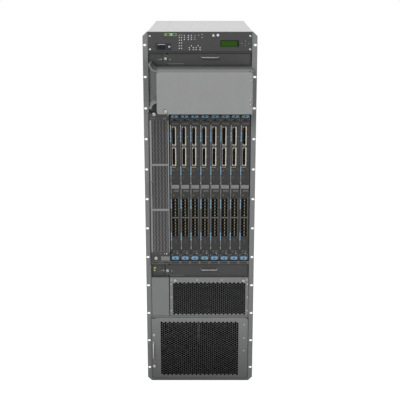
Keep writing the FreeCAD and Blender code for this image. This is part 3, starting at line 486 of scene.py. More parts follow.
def hexagons(left, right, low, high, flat, hole, raised=1):
    """Hexagonal holes in a staggered lattice, with even or odd columns raised."""
    column = flat * math.sqrt(3) / 2
    columns = int((right - left - hole) / column) + 1
    rows = int((high - low - hole - flat / 2) / flat) + 1
    first_x = (left + right) / 2 - column * (columns - 1) / 2
    first_z = (low + high) / 2 - flat * (rows - 0.5) / 2
    corner = hole / math.sqrt(3)
    cells = []
    for i, j in product(range(columns), range(rows)):
        x = first_x + column * i
        z = first_z + flat * (j + 0.5 * (i % 2 == raised))
        cells.append(arc(x, z, corner, range(0, 360, 60)))
    return cells


# Fittings

def thumbscrew(piece, x, y, z, radius, reach=8):
    """A knurled captive screw with a recessed ring and a slotted boss, on a dark seat that is painted shadow.
    """
    face, seat, out, ribs, knurl = y - reach, 1.2, radius + 1.6, 28, 0.35
    # Painted shadow: a dark seat that shows round the cap
    piece.turned(DARKER, (x, y, z), [(0, -seat), (out - 0.4, -seat), (out, -0.6), (out, 0), (0, 0)])
    outline = []
    for i in range(2 * ribs):
        outline += arc(x, z, radius - knurl * (i % 2), [180 * i / ribs])
    piece.plate(CREAM, outline, [], face, y - seat, edge=0.8)
    boss, ring = 0.42 * radius, 0.74 * radius
    piece.turned(PANEL, (x, face, z), [(0, -0.15), (ring, -0.15), (ring, 0.2), (0, 0.2)])
    piece.turned(CREAM, (x, face, z), [(0, -1.6), (boss - 0.5, -1.6), (boss, -1.1), (boss, 0.1), (0, 0.1)])
    piece.block(DARKER, around(x, boss - 0.3), (face - 1.75, face - 1), around(z, 0.5), edge=0)


def screw(piece, x, y, z, radius, material=STEEL, way=-1):
    """A cross-recessed pan head, standing out along the depth."""
    rise = radius * way
    profile = [(0, 0.55), (0.55, 0.5), (0.9, 0.28), (1, 0), (0, 0)]
    piece.turned(material, (x, y, z), [(radius * out, rise * up) for out, up in profile])
    arm, half = 0.45 * radius, 0.11 * radius
    depth = sorted((y + 0.58 * rise, y + 0.3 * rise))
    for x_half, z_half in ((arm, half), (half, arm)):
        piece.block(BLACK, around(x, x_half), depth, around(z, z_half), edge=0)


def rivet(piece, x, y, z, radius=3, material=RIVET, axis="y", way=-1):
    """A low domed head, standing out along an axis."""
    rise = radius * way
    profile = [(0, 0.5), (0.5, 0.43), (0.85, 0.2), (1, 0), (0, 0)]
    piece.turned(material, (x, y, z), [(radius * out, rise * up) for out, up in profile], axis=axis, sides=16)


def lens(piece, x, y, z, radius, material=WHITE):
    """A small domed indicator."""
    piece.turned(material, (x, y, z), [(0, -0.7), (0.75 * radius, -0.6), (radius, -0.3), (radius, 0), (0, 0)],
                 sides=14)


def each(fitting, piece, face, spots, **details):
    """The same fitting at several spots on a face."""
    for x, z in spots:
        fitting(piece, x, face, z, **details)


def marks(piece, face, *rows):
    """Printed marks on a face: finish, middle across and up, width and height."""
    for material, x, z, wide, high in rows:
        piece.block(material, around(x, wide / 2), (face - 0.25, face), around(z, high / 2), edge=0.08)


def chips(piece, x, *rows):
    """Square chips on a board: middle along the depth and up, and size."""
    for y, z, size in rows:
        piece.block(CHIP, x, around(y, size / 2), around(z, size / 2), edge=0.4)


def fan(piece, centre, radius, deep, axis="z", blades=9):
    """A rotor: a hub with swept blades."""
    hub = 0.38 * radius
    profile = [(0, 1), (hub - 2, 1), (hub, 3), (hub, deep - 2), (hub - 2, deep), (0, deep)]
    piece.turned(BLACK, centre, profile, axis=axis, sides=32)
    corners = ((-0.24, 0.15, -0.8), (-0.24, 0.15, 0.8), (0.24, 0.85, 0.8), (0.24, 0.85, -0.8))
    for number in range(blades):
        part = bmesh.new()
        rings = []
        for share in (0, 0.25, 0.5, 0.75, 1):
            reach = hub - 1 + (radius - hub) * share
            turn = 2 * math.pi * number / blades + 0.35 * share
            ring = []
            for lead, rise, lift in corners:
                angle = turn + lead * (1 - 0.25 * share)
                spot = turn_to(axis, reach * math.cos(angle), reach * math.sin(angle), deep * rise + lift)
                ring.append(part.verts.new(Vector(centre) + spot))
            rings.append(ring)
        span_rings(part, rings)
        piece.add(part, BLACK)


def hinge_barrel(piece, joint_name, low, high):
    """The moving barrel on a door's hinge line."""
    x, y, _ = joint_place(joint_name)
    bore, radius, soft, long = 1.56, 2.8, 0.3, high - low
    profile = [(bore, 0), (radius - soft, 0), (radius, soft), (radius, long - soft), (radius - soft, long),
               (bore, long), (bore, 0)]
    piece.turned(STEEL, (x, y, low), profile, axis="z")


def build_bow(node, body, along, reach, lift=0):
    """A bent rod on two feet in place of a plain bar handle, along x or z."""
    low, high = span(node)
    way, across = {"x": (0, 2), "z": (2, 0)}[along]
    thick = (high[across] - low[across]) / 2
    middle = (high[across] + low[across]) / 2

    def spot(depth, place):
        x, z = (place, middle) if along == "x" else (middle, place)
        return Vector((x, depth, z + lift))

    root = high.y
    first, last = low[way] + thick, high[way] - thick
    front = root - reach + thick
    piece = Piece()
    path = [spot(root + 1, first), spot(front, first), spot(front, last), spot(root + 1, last)]
    piece.tube(HANDLE, path, thick - 0.5, corner=7)
    foot = thick + 1
    for place in (first, last):
        profile = [(0, -2.2), (foot - 0.6, -2.2), (foot, -1.5), (foot, 0), (0, 0)]
        piece.turned(HANDLE, spot(root, place), profile)
    piece.show(f"{node}_bow", body, "bright_metal", [node])


# Front, from the top down

def build_top_panel():
    """Screws, indicators, marks and the display's screen on the top panel."""
    piece, low, high, face = begin("craft_panel")
    each(screw, piece, face, product((low.x + 7.5, high.x - 7.5), (low.z + 7.5, high.z - 17.7)), radius=4.4)
    levels = [1572.4 - 8.2 * row for row in range(3)]
    lamps = [*product((-86.7, -77.4), [1564.4 - 11.3 * row for row in range(5)])]
    lamps += product((-65.3, -48.5, -36), levels)
    for x in (-36.2, -7.9):
        lamps += [(x, 1530.4), *product(around(x, 8.2), (1522.5, 1514.6))]
    each(lens, piece, face, lamps, radius=2.4, material=LAMP)
    spots = [(-86.7, 1574), (-77.4, 1574), (-5.4, 1573.6), (9.3, 1576.9), (9.3, 1564.6)]
    spots += product((-21.7,), levels)
    marks(piece, face, *[(MARK, x, z, 5.2, 3) for x, z in spots])
    middle, side, base, peak = 55.8, 6.2, 1569, 1579.2
    triangle = [(middle - side, base), (middle + side, base), (middle, peak)]
    piece.prism(WHITE, triangle, "y", face - 0.9, face, edge=0.25)
    lens(piece, 75, face, 1574, radius=5.2)
    screen_low, screen_high = span("display_module")
    rim = 2.6
    # Painted shade: the screen stops shorter of the bezel's top and right, leaving black for the recess's
    # walls and their shade
    piece.block(SCREEN, (screen_low.x + rim, screen_high.x - 2.4 * rim), (face + 1.3, face + 2.1),
                (screen_low.z + 1.2, screen_high.z - 1.2 * rim), edge=0)
    block_low, block_high = span("relay_terminal_block")
    front, level = block_low.y, (block_low.z + block_high.z) / 2
    for x in (-133.7, -107.1):
        piece.block(BLACK, around(x, 3.9), (front + 0.6, front + 2), around(level, 2.9), edge=0)
    marks(piece, front, (WHITE, -120.4, level, 2.6, 9))
    plate = span("port_module")[0].y
    marks(piece, plate, (MARK, -162.2, 1535.8, 31.5, 3))
    screw(piece, -191.5, face, 1526.2, radius=2.6, material=BLACK)
    thumbscrew(piece, -128.9, plate, 1526.2, radius=4.4, reach=6)
    piece.show("top_panel_fittings")


def build_key_marks():
    """A raised pointer on each key, at its own turn, and a round mark on the last."""
    size, rise, sink = 2.5, 0.35, 0.1
    for name, turn in {"up": 90, "down": -90, "left": 180, "right": 0, "enter": None}.items():
        piece, low, high, face = begin(f"key_{name}")
        x, z = (low.x + high.x) / 2, (low.z + high.z) / 2
        if turn is None:
            piece.turned(MARK, (x, face, z), [(0, -rise), (1.2, -rise), (1.2, sink), (0, sink)], sides=16)
        else:
            outline = arc(x, z, size, (turn, turn + 120, turn + 240))
            piece.prism(MARK, outline, "y", face - rise, face + sink)
        piece.show(f"key_{name}_pointer", f"key_{name}", "key_dark")


def build_tray(name, lift, drop, skirt):
    """A front fan tray's edge, captive screw, marks, handle and fan rotors."""
    body = f"{name}_fan_tray"
    piece, low, high, face = begin(body)
    middle = (low.z + high.z) / 2
    # Painted highlight: the folded left edge in a paler finish than the tray
    piece.block(RAIL, (low.x, low.x + 1.4), (face - 2, face + 1), (low.z - 1.5, high.z - 1), edge=0.4)
    for z in ((high.z - 6, high.z), (low.z - 2.6, low.z + 3.6)):
        piece.block(BLACK, (-142.5, -134), (face - 0.1, face + 1.6), z, edge=0)
    thumbscrew(piece, low.x + 9, face, middle + 0.4 - drop, radius=6.3)
    piece.block(skirt, (low.x + 1.4, high.x), (face + 0.2, face + 1.8), (low.z - 2.6, low.z + 1))
    # Painted shadow: a dark strip along the tray's top, under the edge above it
    gap = (high.z - 3.2, high.z - 0.1)
    piece.block(DARKER, (low.x + 23, high.x), (face - 0.15, face + 1), gap, edge=0)
    marks(piece, face, (MARK, low.x + 28, middle - 3.4 - drop, 5.6, 2.4),
          (MARK, low.x + 28, middle - 0.8 - drop, 2.4, 2.4), (PANEL, low.x + 51, low.z + 3.6, 70, 1.8))
    for x, y in product((-58, 120), (110, 300)):
        fan(piece, (x, y, low.z + 6), radius=74, deep=high.z - low.z - 14)
    piece.show(f"{name}_tray_fittings", body)
    build_bow(f"{name}_tray_handle", body, "x", reach=20, lift=lift)


def build_side_marks():
    """The marks and the earthing jack on the panels left of the trays."""
    piece, _, _, face = begin("tray_side_panels")
    for z in (1472, 530.8):
        marks(piece, face, (FAINT, -182, z - 4, 7, 3), (PANEL, -173, z, 9, 2.6),
              (LAMP, -163.6, z + 0.4, 5, 3.4))
    marks(piece, face, (AMBER, -203.6, 544, 10, 8.4))
    piece.turned(WHITE, (-204.2, face, 532.6),
                 [(0, -0.4), (1, -0.4), (1, -3), (2.6, -3), (3, -2.4), (3, 0), (0, 0)])
    piece.show("side_panel_marks")


def build_cable_cover():
    """The cover's bottom hem, rivets, captive screw and latch slot."""
    piece, low, high, face = begin("cable_cover")
    hem = low.z + 1.7
    piece.tube(COVER, [(low.x + 9, face + 1.6, hem), (high.x - 4, face + 1.6, hem)], 1.75)
    for z in (1415.4, 1397.2, 1319.8, 1300.8):
        # Painted shadow: each rivet sits on a larger dark one that shows below and to its right
        rivet(piece, high.x - 6.5, face, z, radius=4.2, material=DARK)
        rivet(piece, high.x - 7.2, face - 0.8, z + 0.6, radius=3.2)
    marks(piece, face, (DARKER, high.x - 11.5, high.z - 8.5, 8, 2.6))
    thumbscrew(piece, low.x + 36.5, face, low.z + 11.8, radius=7)
    piece.show("cable_cover_fittings", "cable_cover", "cover_paint")


def wave_bars(piece, left, right, bottom, top, front):
    """Upright bars behind the mesh that zigzag from side to side."""
    count, step, sway, half = 5, 11, 2, 3.1
    pitch = (right - left) / count
    levels = int((top - bottom) / step)
    heights = [bottom + (top - bottom) * level / levels for level in range(levels + 1)]
    for number in range(count):
        middle = left + pitch * (number + 0.5)
        line = [(middle + sway * (-1) ** level, z) for level, z in enumerate(heights)]
        outline = [(x - half, z) for x, z in line] + [(x + half, z) for x, z in reversed(line)]
        piece.prism(WAVE, outline, "y", front, front + 1.5)


def build_mesh_door():
    """The board bay's door: a skin with three fine mesh windows between grey rails."""
    piece, low, high, face = begin("bay_door")
    skin = face + 1.6
    left, right = low.x + 9.2, high.x - 5
    bottom_end, top_end = WINDOW_ENDS
    windows = ((1025, top_end), (823.6, 1017.9), (bottom_end, 815.4))
    piece.plate(DARK, box_outline(low.x, high.x, low.z, high.z, radius=2),
                [box_outline(left, right, *window) for window in windows], face, skin, edge=0.4)
    for bottom, top in windows:
        piece.plate(MESH, box_outline(left - 2, right + 2, bottom - 2, top + 2),
                    hexagons(left, right, bottom, top, flat=4.4, hole=3.5), skin - 0.2, skin + 0.3)
        wave_bars(piece, left, right, bottom, top, skin + 0.9)
    for x in ((low.x + 0.8, left - 0.8), (right, high.x - 0.6)):
        piece.block(COVER, x, (face - 1.2, skin), WINDOW_ENDS, edge=0.5)
    for upper, lower in zip(windows, windows[1:]):
        piece.block(COVER, (left - 1, right + 1), (face - 1, skin), (lower[1], upper[0]), edge=0.5)
    # Painted light: the top plate, under the cover, in a paler finish than the same plate at the bottom
    for material, z in ((PANEL, (low.z + 1.5, low.z + 20.5)), (MARK, (high.z - 13, high.z - 1.5))):
        piece.block(material, (low.x + 43.4, high.x - 1), (face - 0.8, face), z, edge=0.3)
    marks(piece, face, (RAIL, -203, 1224, 22, 3), (PANEL, -155, 1222.5, 6, 5), (PANEL, -148, 1224, 5, 7),
          (RIB, -202, 617, 22, 4), (RAIL, -176, 618, 12, 5), (MARK, -158, 617, 3, 6),
          (LAMP, -148.5, 617.5, 5, 7))
    rim, fold = 1.6, skin + 5
    piece.block(DARK, (low.x, low.x + rim), (skin, fold), (low.z, high.z))
    for bottom in (low.z, high.z - rim):
        piece.block(DARK, (low.x, right), (skin, fold), (bottom, bottom + rim))
    hinge_barrel(piece, "bay_door_swing", 640, 1190)
    for z in (high.z - 2.9, low.z + 13.5):
        thumbscrew(piece, low.x + 21.2, face, z, radius=7.2)
    piece.show("mesh_door", "bay_door", replaced=["bay_door"])
    build_bow("bay_door_handle", "bay_door", "z", reach=15)


# Line cards

SOCKETS = ((1105, 1188, -10.6), (1015, 1097, -9.8))


def card_place(number):
    """The middle of a card across the front."""
    low, high = span(f"line_card_{number}")
    return (low.x + high.x) / 2


def card_face(piece):
    """A card's faceplate with its ribs, strips, painted highlights and marks."""
    half, low, high, face = 20.6, 584, 1240, 6
    notch, deep = 15.8, 27
    lower = [(-half, low), (-notch, low), (-notch, low + deep), (notch, low + deep), (notch, low),
             (half, low)]
    outline = lower + [(-x, low + high - z) for x, z in lower]
    windows = [box_outline(-10.9, 6.1, bottom + 0.1, top - 0.1) for bottom, top, _ in SOCKETS]
    windows.append(box_outline(-12.4, 13.9, 693.1, 869.9))
    piece.plate(CARD, outline, windows, face, face + 3, edge=0.4)
    piece.block(RAIL, (-19.6, -14.6), (face - 4, face + 0.2), (635, 1195), edge=0.7)
    piece.block(CAGE_EDGE, (14.1, 16.1), (face - 0.7, face + 0.2), (691, 872), edge=0.3)
    gap = 1.3
    for bottom, top in ((1120, 1166), (974, 1014), (821, 866), (675, 714)):
        third = (top - bottom) / 3
        for step in range(3):
            z = around(bottom + third * (step + 0.5), third / 2 - gap)
            piece.block(BLUE_STRIP, (-19.5, -14.9), (face - 5.2, face - 3.6), z, edge=0.5)
    # Painted highlights on the rib: pale bars and, above some, less pale grey ones
    rib_highlights = {RIB_HIGHLIGHT: ((1168, 1194), (932, 942), (636, 648)), PANEL: ((949, 972), (890, 908), (656, 673))}
    for material, levels in rib_highlights.items():
        for z in levels:
            piece.block(material, (-18.6, -16), (face - 4.5, face - 3.6), z, edge=0.3)
    # Painted highlight at the rib's top end
    piece.block(RIB_HIGHLIGHT, (-18.8, -16.4), (face - 0.6, face + 0.2), (1211, 1224))
    piece.block(PANEL, (-17, 19), (face - 8, face + 0.2), (913.5, 930.5), edge=1.4)
    each(lens, piece, face, ((12.5, 1143), (12.5, 1056), (-6, 963)), radius=1.7, material=PANEL)
    marks(piece, face, (RIB, 2, 1199.5, 30, 9), (RAIL, -2.4, 1101, 16, 5), (FAINT, 5, 902.7, 24, 8),
          (YELLOW, -3.5, 1008, 17, 2.6), (YELLOW, -6, 994, 3.4, 3), (FAINT, 13, 1000, 10, 2.2),
          (YELLOW, -6, 882.5, 3.8, 3), (PANEL, -5.7, 625.5, 6.8, 2.6), (PANEL, 8.3, 625.5, 9, 2.6),
          (LAMP, 8, 615.5, 4.4, 3.6))
    marks(piece, face, *[(FAINT, x, z, 3.2, 3.2) for x, z in ((0, 680), (4, 675), (0, 670), (4, 665))])
    marks(piece, face, *[(FAINT, x, 616, 4, 2.8) for x in (-10, -4, 2, 14)])


def tall_connector(piece, low, high, left):
    """A deep socket in a metal shell, with a contact tongue inside."""
    front, back = 2.5, 24
    cavity = cut_outline(-10, 2.2, low + 3, high - 3, cut=3.4)
    lower = [(left, low + 9), (-6, low + 2.6), (-0.6, low + 2.6), (2.1, low + 9)]
    mouth = lower + [(x, low + high - z) for x, z in reversed(lower)]
    rim = box_outline(-10.9, 6.1, low + 0.3, high - 0.3, radius=1.2)
    piece.plate(CAGE, box_outline(-11, 6.2, low, high, radius=1.2), [cavity], front, back, edge=0.5)
    piece.plate(BLACK, box_outline(-10, 5.5, low + 1, high - 1), [], back - 2, back)
    piece.block(BLACK, (-5.2, -3), (front + 4, back - 1), (low + 9, high - 9), edge=0.3)
    piece.plate(SHELL_METAL, rim, [mouth], front - 1, front + 0.6, edge=0.4)
    piece.block(CAGE, (-9.6, 4.8), (front - 1.3, front - 0.8), (high - 3, high - 0.9), edge=0.1)


def port_cage(piece):
    """Two groups of small sockets in two columns, in a pressed metal cage."""
    front, back = 4, 22
    columns = ((-12, -0.6), (2.7, 13.3))
    half, tall, pitch = 6.2, 86.5, 13.7
    for low in (693, 783):
        high = low + tall
        rows = [low + 8.9 + pitch * row for row in range(6)]
        holes = [cut_outline(*column, *around(z, half), cut=1.2) for column, z in product(columns, rows)]
        piece.plate(WEB, box_outline(-12.5, 14, low, high), holes, front, back)
        piece.plate(BLACK, box_outline(-12, 13.5, low + 0.5, high - 0.5), [], back - 4, back)
        for z in rows:
            piece.block(TONGUE, (-1.3, 3.4), (front - 0.8, front + 0.4), around(z, 3), edge=0.5)
    piece.block(CAGE_EDGE, (-12.5, 14), (front, front + 4), (779.6, 782.9), edge=0.3)


def card_board(piece):
    """The card's board behind its faceplate, with chips, heat sinks and rear connectors."""
    left, right, back = 12, 14, 405
    piece.block(BOARD, (left, right), (9, back), (590, 1234))
    chips(piece, (left - 2.6, left), (90, 1160, 34), (90, 1080, 26), (150, 640, 30), (90, 780, 22),
          (90, 840, 22), (330, 1180, 26))
    fins, sink = 13, 38
    for y, z in ((200, 1090), (200, 930), (200, 770), (310, 700), (310, 1000)):
        piece.block(ALLOY, (left - 5, left), around(y, sink), around(z, sink), edge=0.4)
        for number in range(fins):
            spot = z - 36 + 72 * number / (fins - 1)
            piece.block(ALLOY, (left - 22, left - 4.8), around(y, sink), around(spot, 0.8), edge=0)
    for low, high in ((612, 760), (800, 1010), (1050, 1216)):
        piece.block(CHIP, (left - 12, left), (back - 20, back), (low, high), edge=0.5)
        piece.block(SHELL_METAL, (left - 10, left - 2), (back - 0.5, back), (low + 4, high - 4), edge=0)


def build_line_cards():
    """Eight cards of one shape, each standing for its solid."""
    piece = Piece()
    card_face(piece)
    for socket in SOCKETS:
        tall_connector(piece, *socket)
    port_cage(piece)
    card_board(piece)
    for z in (1221, 605.5):
        piece.turned(DARK, (-16.8, 7.5, z), [(0, 0), (1.2, 0), (1.2, 33.6), (0, 33.6)], axis="x", sides=12)
    piece.block(RAIL, (20.4, 21.8), (7, 9), (612, 1212))
    # Painted light: the cheeks, the plate behind the lever and the lugs round each notch are paler than the
    # card, as if lit inside the notch
    cheek, lug, back = (9, 10.6), (5.4, 6.2), (17.8, 19.2)
    notch_parts = (((-15.9, -6.8), cheek), ((6.8, 15.9), cheek), ((-7.2, 7.2), back), ((-20.5, -15.9), lug),
                   ((15.9, 20.5), lug))
    for low, (x, y) in product((584.5, 1213), notch_parts):
        piece.block(RAIL, x, y, (low, low + 26.5))
    card = piece.data("line_card")
    for number in CARDS:
        name = f"line_card_{number}"
        show(card, f"{name}_made", name, [name], x=card_place(number))


def lever(way, middle, high):
    """An ejector lever about its pivot: a hooked arm and a blue grip with a square well."""
    piece = Piece()
    arm = [(-12.5, 4), (-12.5, 16), (-7, 16), (3, 9), (9, 9), (9, 4), (2.8, -2.8), (1.3, -2.8), (1.3, 1.3),
           (-1.3, 1.3), (-1.3, -2.8), (-2.8, -2.8)]
    piece.prism(RIB, [(depth, rise * way) for depth, rise in arm], "x", -6, 6, edge=0.25)
    wide, well, front, back = 15.5, 3.3, -17.5, -11.5
    grip = box_outline(-wide, wide, *around(middle, high), radius=min(high - 0.1, 5.8), steps=8)
    hole = box_outline(-well, well, *around(middle, well), radius=0.8)
    piece.plate(BLUE, grip, [hole], front, back, edge=1.8)
    piece.block(BLUE_DARK, (-well, well), (back - 2.1, back), around(middle, well), edge=0)
    return piece


def build_levers():
    """The levers at the top and bottom of every card."""
    for end, way, middle, high in (("top", 1, 11.6, 5.8), ("bottom", -1, -8.2, 7.6)):
        data = lever(way, middle, high).data(f"{end}_lever")
        for number in CARDS:
            name = f"card_{number}_{end}_lever"
            _, y, z = joint_place(f"{name}_swing")
            show(data, f"{name}_made", name, [name], x=card_place(number), y=y, z=z)


def build_label_strip():
    """The strip under the cards, with a dark window for each slot."""
    face, window = -1.2, (571, 576.5)
    glass, lip = (-1.45, -1), (-1.5, -1)
    piece = Piece()
    piece.block(RIB, (-217.5, 217.5), (face, 0), (566.5, 582.5), edge=0.4)
    for x in ((-212.5, -187), (-160.5, -135)):
        piece.block(DARKER, x, glass, window, edge=0.1)
    for z in ((566.6, 570), (578, 582.3)):
        piece.block(RAIL, (-212.5, -136), lip, z)
    marks(piece, face, (BLACK, -214.8, 580.8, 3.4, 3.4))
    marks(piece, lip[0], (BLACK, -138, 568.3, 3.6, 3.2))
    for number in CARDS:
        x = card_place(number)
        piece.block(DARKER, (x - 16, x + 14), glass, window, edge=0.1)
        marks(piece, face, (PANEL, x + 20, 574.5, 2.4, 12))
    piece.show("label_strip")


# Lower front

def build_intake_panel():
    """The honeycomb air intake with folded edges, rivets and captive screws."""
    piece, low, high, face = begin("intake_panel")
    sheet = 0.9
    skin, fold = face + sheet, face + 14
    piece.plate(PANEL, box_outline(low.x, high.x, low.z, high.z, radius=1.5),
                hexagons(-126, 209, 322.5, 484.5, **CELL), face, skin, edge=0.5)
    for x in (low.x, high.x - sheet):
        piece.block(PANEL, (x, x + sheet), (skin, fold), (low.z, high.z))
    for z in (low.z, high.z - sheet):
        piece.block(PANEL, (low.x + sheet, high.x - sheet), (skin, fold), (z, z + sheet))
    for x in (-111.6, 195.2):
        thumbscrew(piece, x, face, 490.5, radius=6.6)
    each(rivet, piece, face, product((-126.5, -12.9, 98.3, 210.4), (492,)))
    each(rivet, piece, face, product((-129.8, 213.6), (472, 409, 345)))
    piece.show("intake_honeycomb", replaced=["intake_panel"])


def build_filter_door():
    """The honeycomb door in front of the air filter."""
    piece, low, high, face = begin("filter_door")
    skin = face + 0.8
    rim, fold, corner = 1.6, skin + 5, 14
    top = high.z + 6
    round_corner = arc(high.x - corner, top - corner, corner, range(0, 91, 15))
    outline = [(low.x, low.z), (high.x, low.z), *round_corner, (low.x, top)]
    piece.plate(DOOR, outline, hexagons(-182, 177.6, 29.4, 294.4, **CELL, raised=0), face, skin, edge=0.5)
    piece.block(DOOR, (low.x, low.x + rim), (skin, fold), (low.z, top))
    for bottom in (low.z, top - rim):
        piece.block(DOOR, (low.x, 201.2), (skin, fold), (bottom, bottom + rim))
    hinge_barrel(piece, "filter_door_swing", 60, 262)
    for z in (231, 77):
        thumbscrew(piece, -210, face, z, radius=6.3)
    each(rivet, piece, face, product((201,), (278.5, 214.2, 151.4)))
    marks(piece, face, (BLACK, -210.5, top - 2.2, 17, 3))
    piece.show("filter_honeycomb", "filter_door", replaced=["filter_door"])
    build_bow("filter_door_handle", "filter_door", "z", reach=19, lift=3)


def build_filter_strut():
    """The upright strut that holds the air filter's frame."""
    piece = Piece()
    piece.block(CHIP, (-10.5, -3.5), (3.2, 5), (195, 299), edge=0.4)
    piece.show("filter_strut")


# Shell and rear

def build_shell_fittings():
    """Rivets on the sides and top of the shell, along its uprights and shelves."""
    piece, low, high, _ = begin("chassis_frame")
    leg = 2.5
    spots = [*product((0,), (70, 415, 815), range(60, 1580, 84))]
    spots += product((0,), (156, 242, 328, 501, 587, 673, 744), (308, 577, 1249, 1502))
    spots += product((leg,), (24,), range(60, 1580, 126))
    for (face, way), (out, y, z) in product(((low.x, -1), (high.x, 1)), spots):
        rivet(piece, face + out * way, y, z, radius=3.6, material=SHELL_RIVET, axis="x", way=way)
    for y in range(79, 800, 157):
        rivet(piece, -147, y, high.z, radius=2.6, material=SHELL_RIVET, axis="z", way=1)
    piece.show("shell_fittings", slot="chassis_paint")


def build_rear_cover():
    """The plain cover screwed on the rear wall, above the power modules."""
    wall, sheet = span("chassis_frame")[1].y, 1.2
    half, low, high, inset = 206, 322, 568, 10
    piece = Piece()
    piece.plate(SHELL, box_outline(-half, half, low, high, radius=6), [], wall + sheet, wall, edge=0.5)
    edge = half - inset
    spots = [*product((-edge, -edge / 3, edge / 3, edge), (low + inset, high - inset))]
    spots += product((-edge, edge), ((low + high) / 2,))
    each(screw, piece, wall + sheet, spots, radius=4.6, way=1)
    piece.show("rear_cover", slot="chassis_paint")


def build_hinge_leaf():
    """The fixed leaf between the duct's end wall and the hinge of its cover."""
    x, y, _ = joint_place("cable_cover_swing")
    piece = Piece()
    for z in ((1299.3, 1417.7), (1424.7, 1435.7)):
        piece.block(DUCT, (x + 1.1, x + 1.9), (y + 3, y + 16), z, edge=0.15)
    piece.show("cover_hinge_leaf")


def fan_guard(piece, x, y, z, radius):
    """A wire guard of rings and spokes."""
    wire = 1.1
    for ring in (0.25, 0.45, 0.65, 0.85, 1.04):
        piece.turned(STEEL, (x, y, z), arc(radius * ring, 0, wire, range(0, 361, 45)), sides=40)
    middle = Vector((x, y - 1.6, z))
    for a, b in arc(0, 0, radius * 1.1, (45, 135)):
        way = Vector((a, 0, b))
        piece.tube(STEEL, [middle - way, middle + way], wire, sides=8)


def build_rear_fans():
    """Rotors, guards and screws of the rear fan tray."""
    piece, low, high, _ = begin("rear_fan_tray")
    corner = 47
    for x, z in product((-136, 0, 136), (1344, 1492)):
        fan(piece, (x, REAR_Y - 62, z), radius=58, deep=46, axis="y", blades=7)
        fan_guard(piece, x, REAR_Y + 2.4, z, radius=62)
        each(screw, piece, REAR_Y, product(around(x, corner), around(z, corner)), radius=3.4, way=1)
    ends = product((low.x + 9, high.x - 9), (low.z + 9, high.z - 9))
    each(screw, piece, REAR_Y, ends, radius=5, way=1)
    piece.show("rear_fans", "rear_fan_tray", "module_dark")


def build_switch_fittings():
    """Screws, lamps, pulls' inlays and board parts of the rear switch cards."""
    for number in range(1, 6):
        name = f"switch_card_{number}"
        piece, low, high, _ = begin(name)
        x = (low.x + high.x) / 2
        each(screw, piece, REAR_Y, product(around(x, 33), (low.z + 11, high.z - 11)), radius=4.4, way=1)
        for z in (low.z + 31, high.z - 31):
            piece.block(BLUE, around(x, 23), around(REAR_Y + 16, 0.4), around(z, 4.5), edge=0.3)
        for z in (1168, 1156, 1144):
            piece.turned(WHITE, (x + 24, REAR_Y, z), [(0, 0.9), (1.6, 0.5), (2, 0), (0, 0)], sides=14)
        chips(piece, (x + 1.5, x + 4.5), (540, 1130, 44), (540, 900, 60), (540, 700, 44), (690, 1010, 40),
              (690, 780, 40))
        piece.show(f"{name}_fittings", name, "module_dark")


def build_power_fittings():
    """Screws, cover studs and lamps of the two power modules."""
    cover = 855
    for side, way in (("left", -1), ("right", 1)):
        name = f"power_module_{side}"
        piece = Piece()
        each(screw, piece, REAR_Y, product((12 * way, 206 * way), (26, 295)), radius=5, way=1)
        each(screw, piece, cover, product((38 * way, 122 * way), (198, 262)), radius=3.4, way=1)
        for x in (50, 70, 90, 110):
            piece.turned(BRIGHT, (x * way, cover, 230), [(0, 3), (3.6, 3), (4.4, 2.2), (4.4, 0), (0, 0)])
        for material, z in ((WHITE, 280), (YELLOW, 266)):
            piece.turned(material, (180 * way, REAR_Y, z), [(0, 1.2), (2, 0.8), (2.6, 0), (0, 0)], sides=14)
        piece.show(f"{name}_fittings", name, "module_dark")


def paint(material, *names):
    """Gives solids their finish."""
    for name in names:
        data = nodes[name].data
        data.materials.clear()
        data.materials.append(material)


# Camera, light and floor

def build_camera():
    """A camera at the photograph's height, distance and tilt, in metres and degrees."""
    back, height, tilt = 3.922, 1.839, 15.6
    camera = bpy.data.cameras.new("camera")
    camera.sensor_width = 36
    camera.lens = 82.72
    camera.shift_y = 0.065
    holder = new_object("camera", camera)
    holder.location = (0, FLANGE_Y - back, height)
    holder.rotation_euler = (math.radians(90 - tilt), 0, 0)
    bpy.context.scene.camera = holder


def lamp(name, place, aim, power):
    """A soft square lamp that faces a point, in metres and watts."""
    light = bpy.data.lights.new(name, "AREA")
    light.shape = "RECTANGLE"
    light.size = light.size_y = 1.6
    light.energy = power
    item = new_object(name, light)
    item.location = place
    item.rotation_euler = (Vector(aim) - Vector(place)).to_track_quat("-Z", "Y").to_euler()


def seen_directly(tree):
    """One for camera, glossy and transmission rays, and nought for the rest."""
    rays = add_node(tree, "LightPath").outputs
    shown = compute(tree, "MAXIMUM", rays["Is Camera Ray"], rays["Is Glossy Ray"])
    return compute(tree, "MAXIMUM", shown, rays["Is Transmission Ray"])


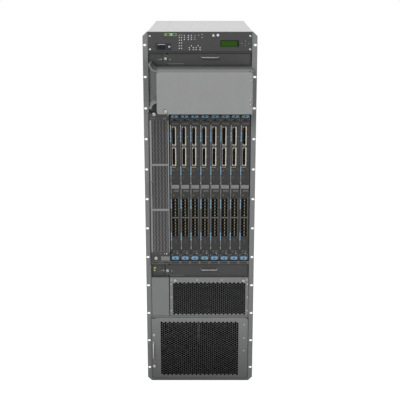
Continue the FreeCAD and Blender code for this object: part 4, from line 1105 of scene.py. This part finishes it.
def build_surroundings():
    """A white backdrop in the world and a pale floor that keeps the shadow."""
    white, pale_grey = (1, 1, 1, 1), (0.35, 0.35, 0.35, 1)
    world = bpy.data.worlds.new("studio")
    bpy.context.scene.world = world
    world.use_nodes = True
    tree = world.node_tree
    soft = settle(tree.nodes["Background"], Color=white, Strength=0.3).outputs[0]
    seen = add_node(tree, "Background", Color=white).outputs[0]
    mix = add_node(tree, "MixShader")
    for socket, source in zip(mix.inputs, (seen_directly(tree), soft, seen)):
        tree.links.new(source, socket)
    tree.links.new(mix.outputs["Shader"], tree.nodes["World Output"].inputs["Surface"])

    ground = bpy.data.meshes.new("floor")
    reach, gap, glow = 6, 0.0005, 0.88
    corners = box_outline(-reach, reach, -reach, reach)
    ground.from_pydata([(x, y, 0) for x, y in corners], [], [(0, 1, 2, 3)])
    floor = new_object("floor", ground)
    floor.location.z = -gap
    pale = bpy.data.materials.new("pale_floor")
    pale.use_nodes = True
    tree = pale.node_tree
    shader = tree.nodes["Principled BSDF"]
    settle(shader, Base_Color=pale_grey, Roughness=0.9, Emission_Color=white)
    shine = compute(tree, "MULTIPLY", seen_directly(tree), glow)
    tree.links.new(shine, shader.inputs["Emission Strength"])
    ground.materials.append(pale)


bpy.context.scene.view_settings.view_transform = "Standard"
build_camera()
lamp("key", (-1.2, -3.6, 2.7), (0, -0.3, 1), 58)
lamp("top", (0, 0.2, 3.3), (0, 0.1, 1.5), 44)
lamp("fill", (2, -3.1, 1.1), (0, -0.3, 1), 30)
build_surroundings()

# All solids in the dark paint first, and then some in others
paint(DARK, *nodes)
paint(SHELL, "chassis_frame")
paint(FLANGE, "rack_flanges")
paint(COVER, "cable_cover")
paint(DUCT, "cable_duct")
paint(PANEL, "lower_blank_panel", "intake_panel")
paint(BRIGHT, *[name for name in nodes if name.endswith("_handle")])
paint(GREEN, "relay_terminal_block")
paint(NAVY, "port_module")
paint(BLACK, "display_module")
paint(FOAM, "air_filter")
paint(STEEL, "hinge_pins")
paint(DARKER, "control_boards")
paint(BOARD, "midplane_board")
paint(BLUE, *[name for name in nodes if name.endswith("_lever")])

build_top_panel()
build_key_marks()
build_tray("upper", lift=1.5, drop=0, skirt=DARK)
build_tray("lower", lift=3.5, drop=2, skirt=RAIL)
build_side_marks()
build_cable_cover()
build_mesh_door()
build_line_cards()
build_levers()
build_label_strip()
build_intake_panel()
build_filter_door()
build_filter_strut()
build_shell_fittings()
build_rear_cover()
build_hinge_leaf()
build_rear_fans()
build_switch_fittings()
build_power_fittings()
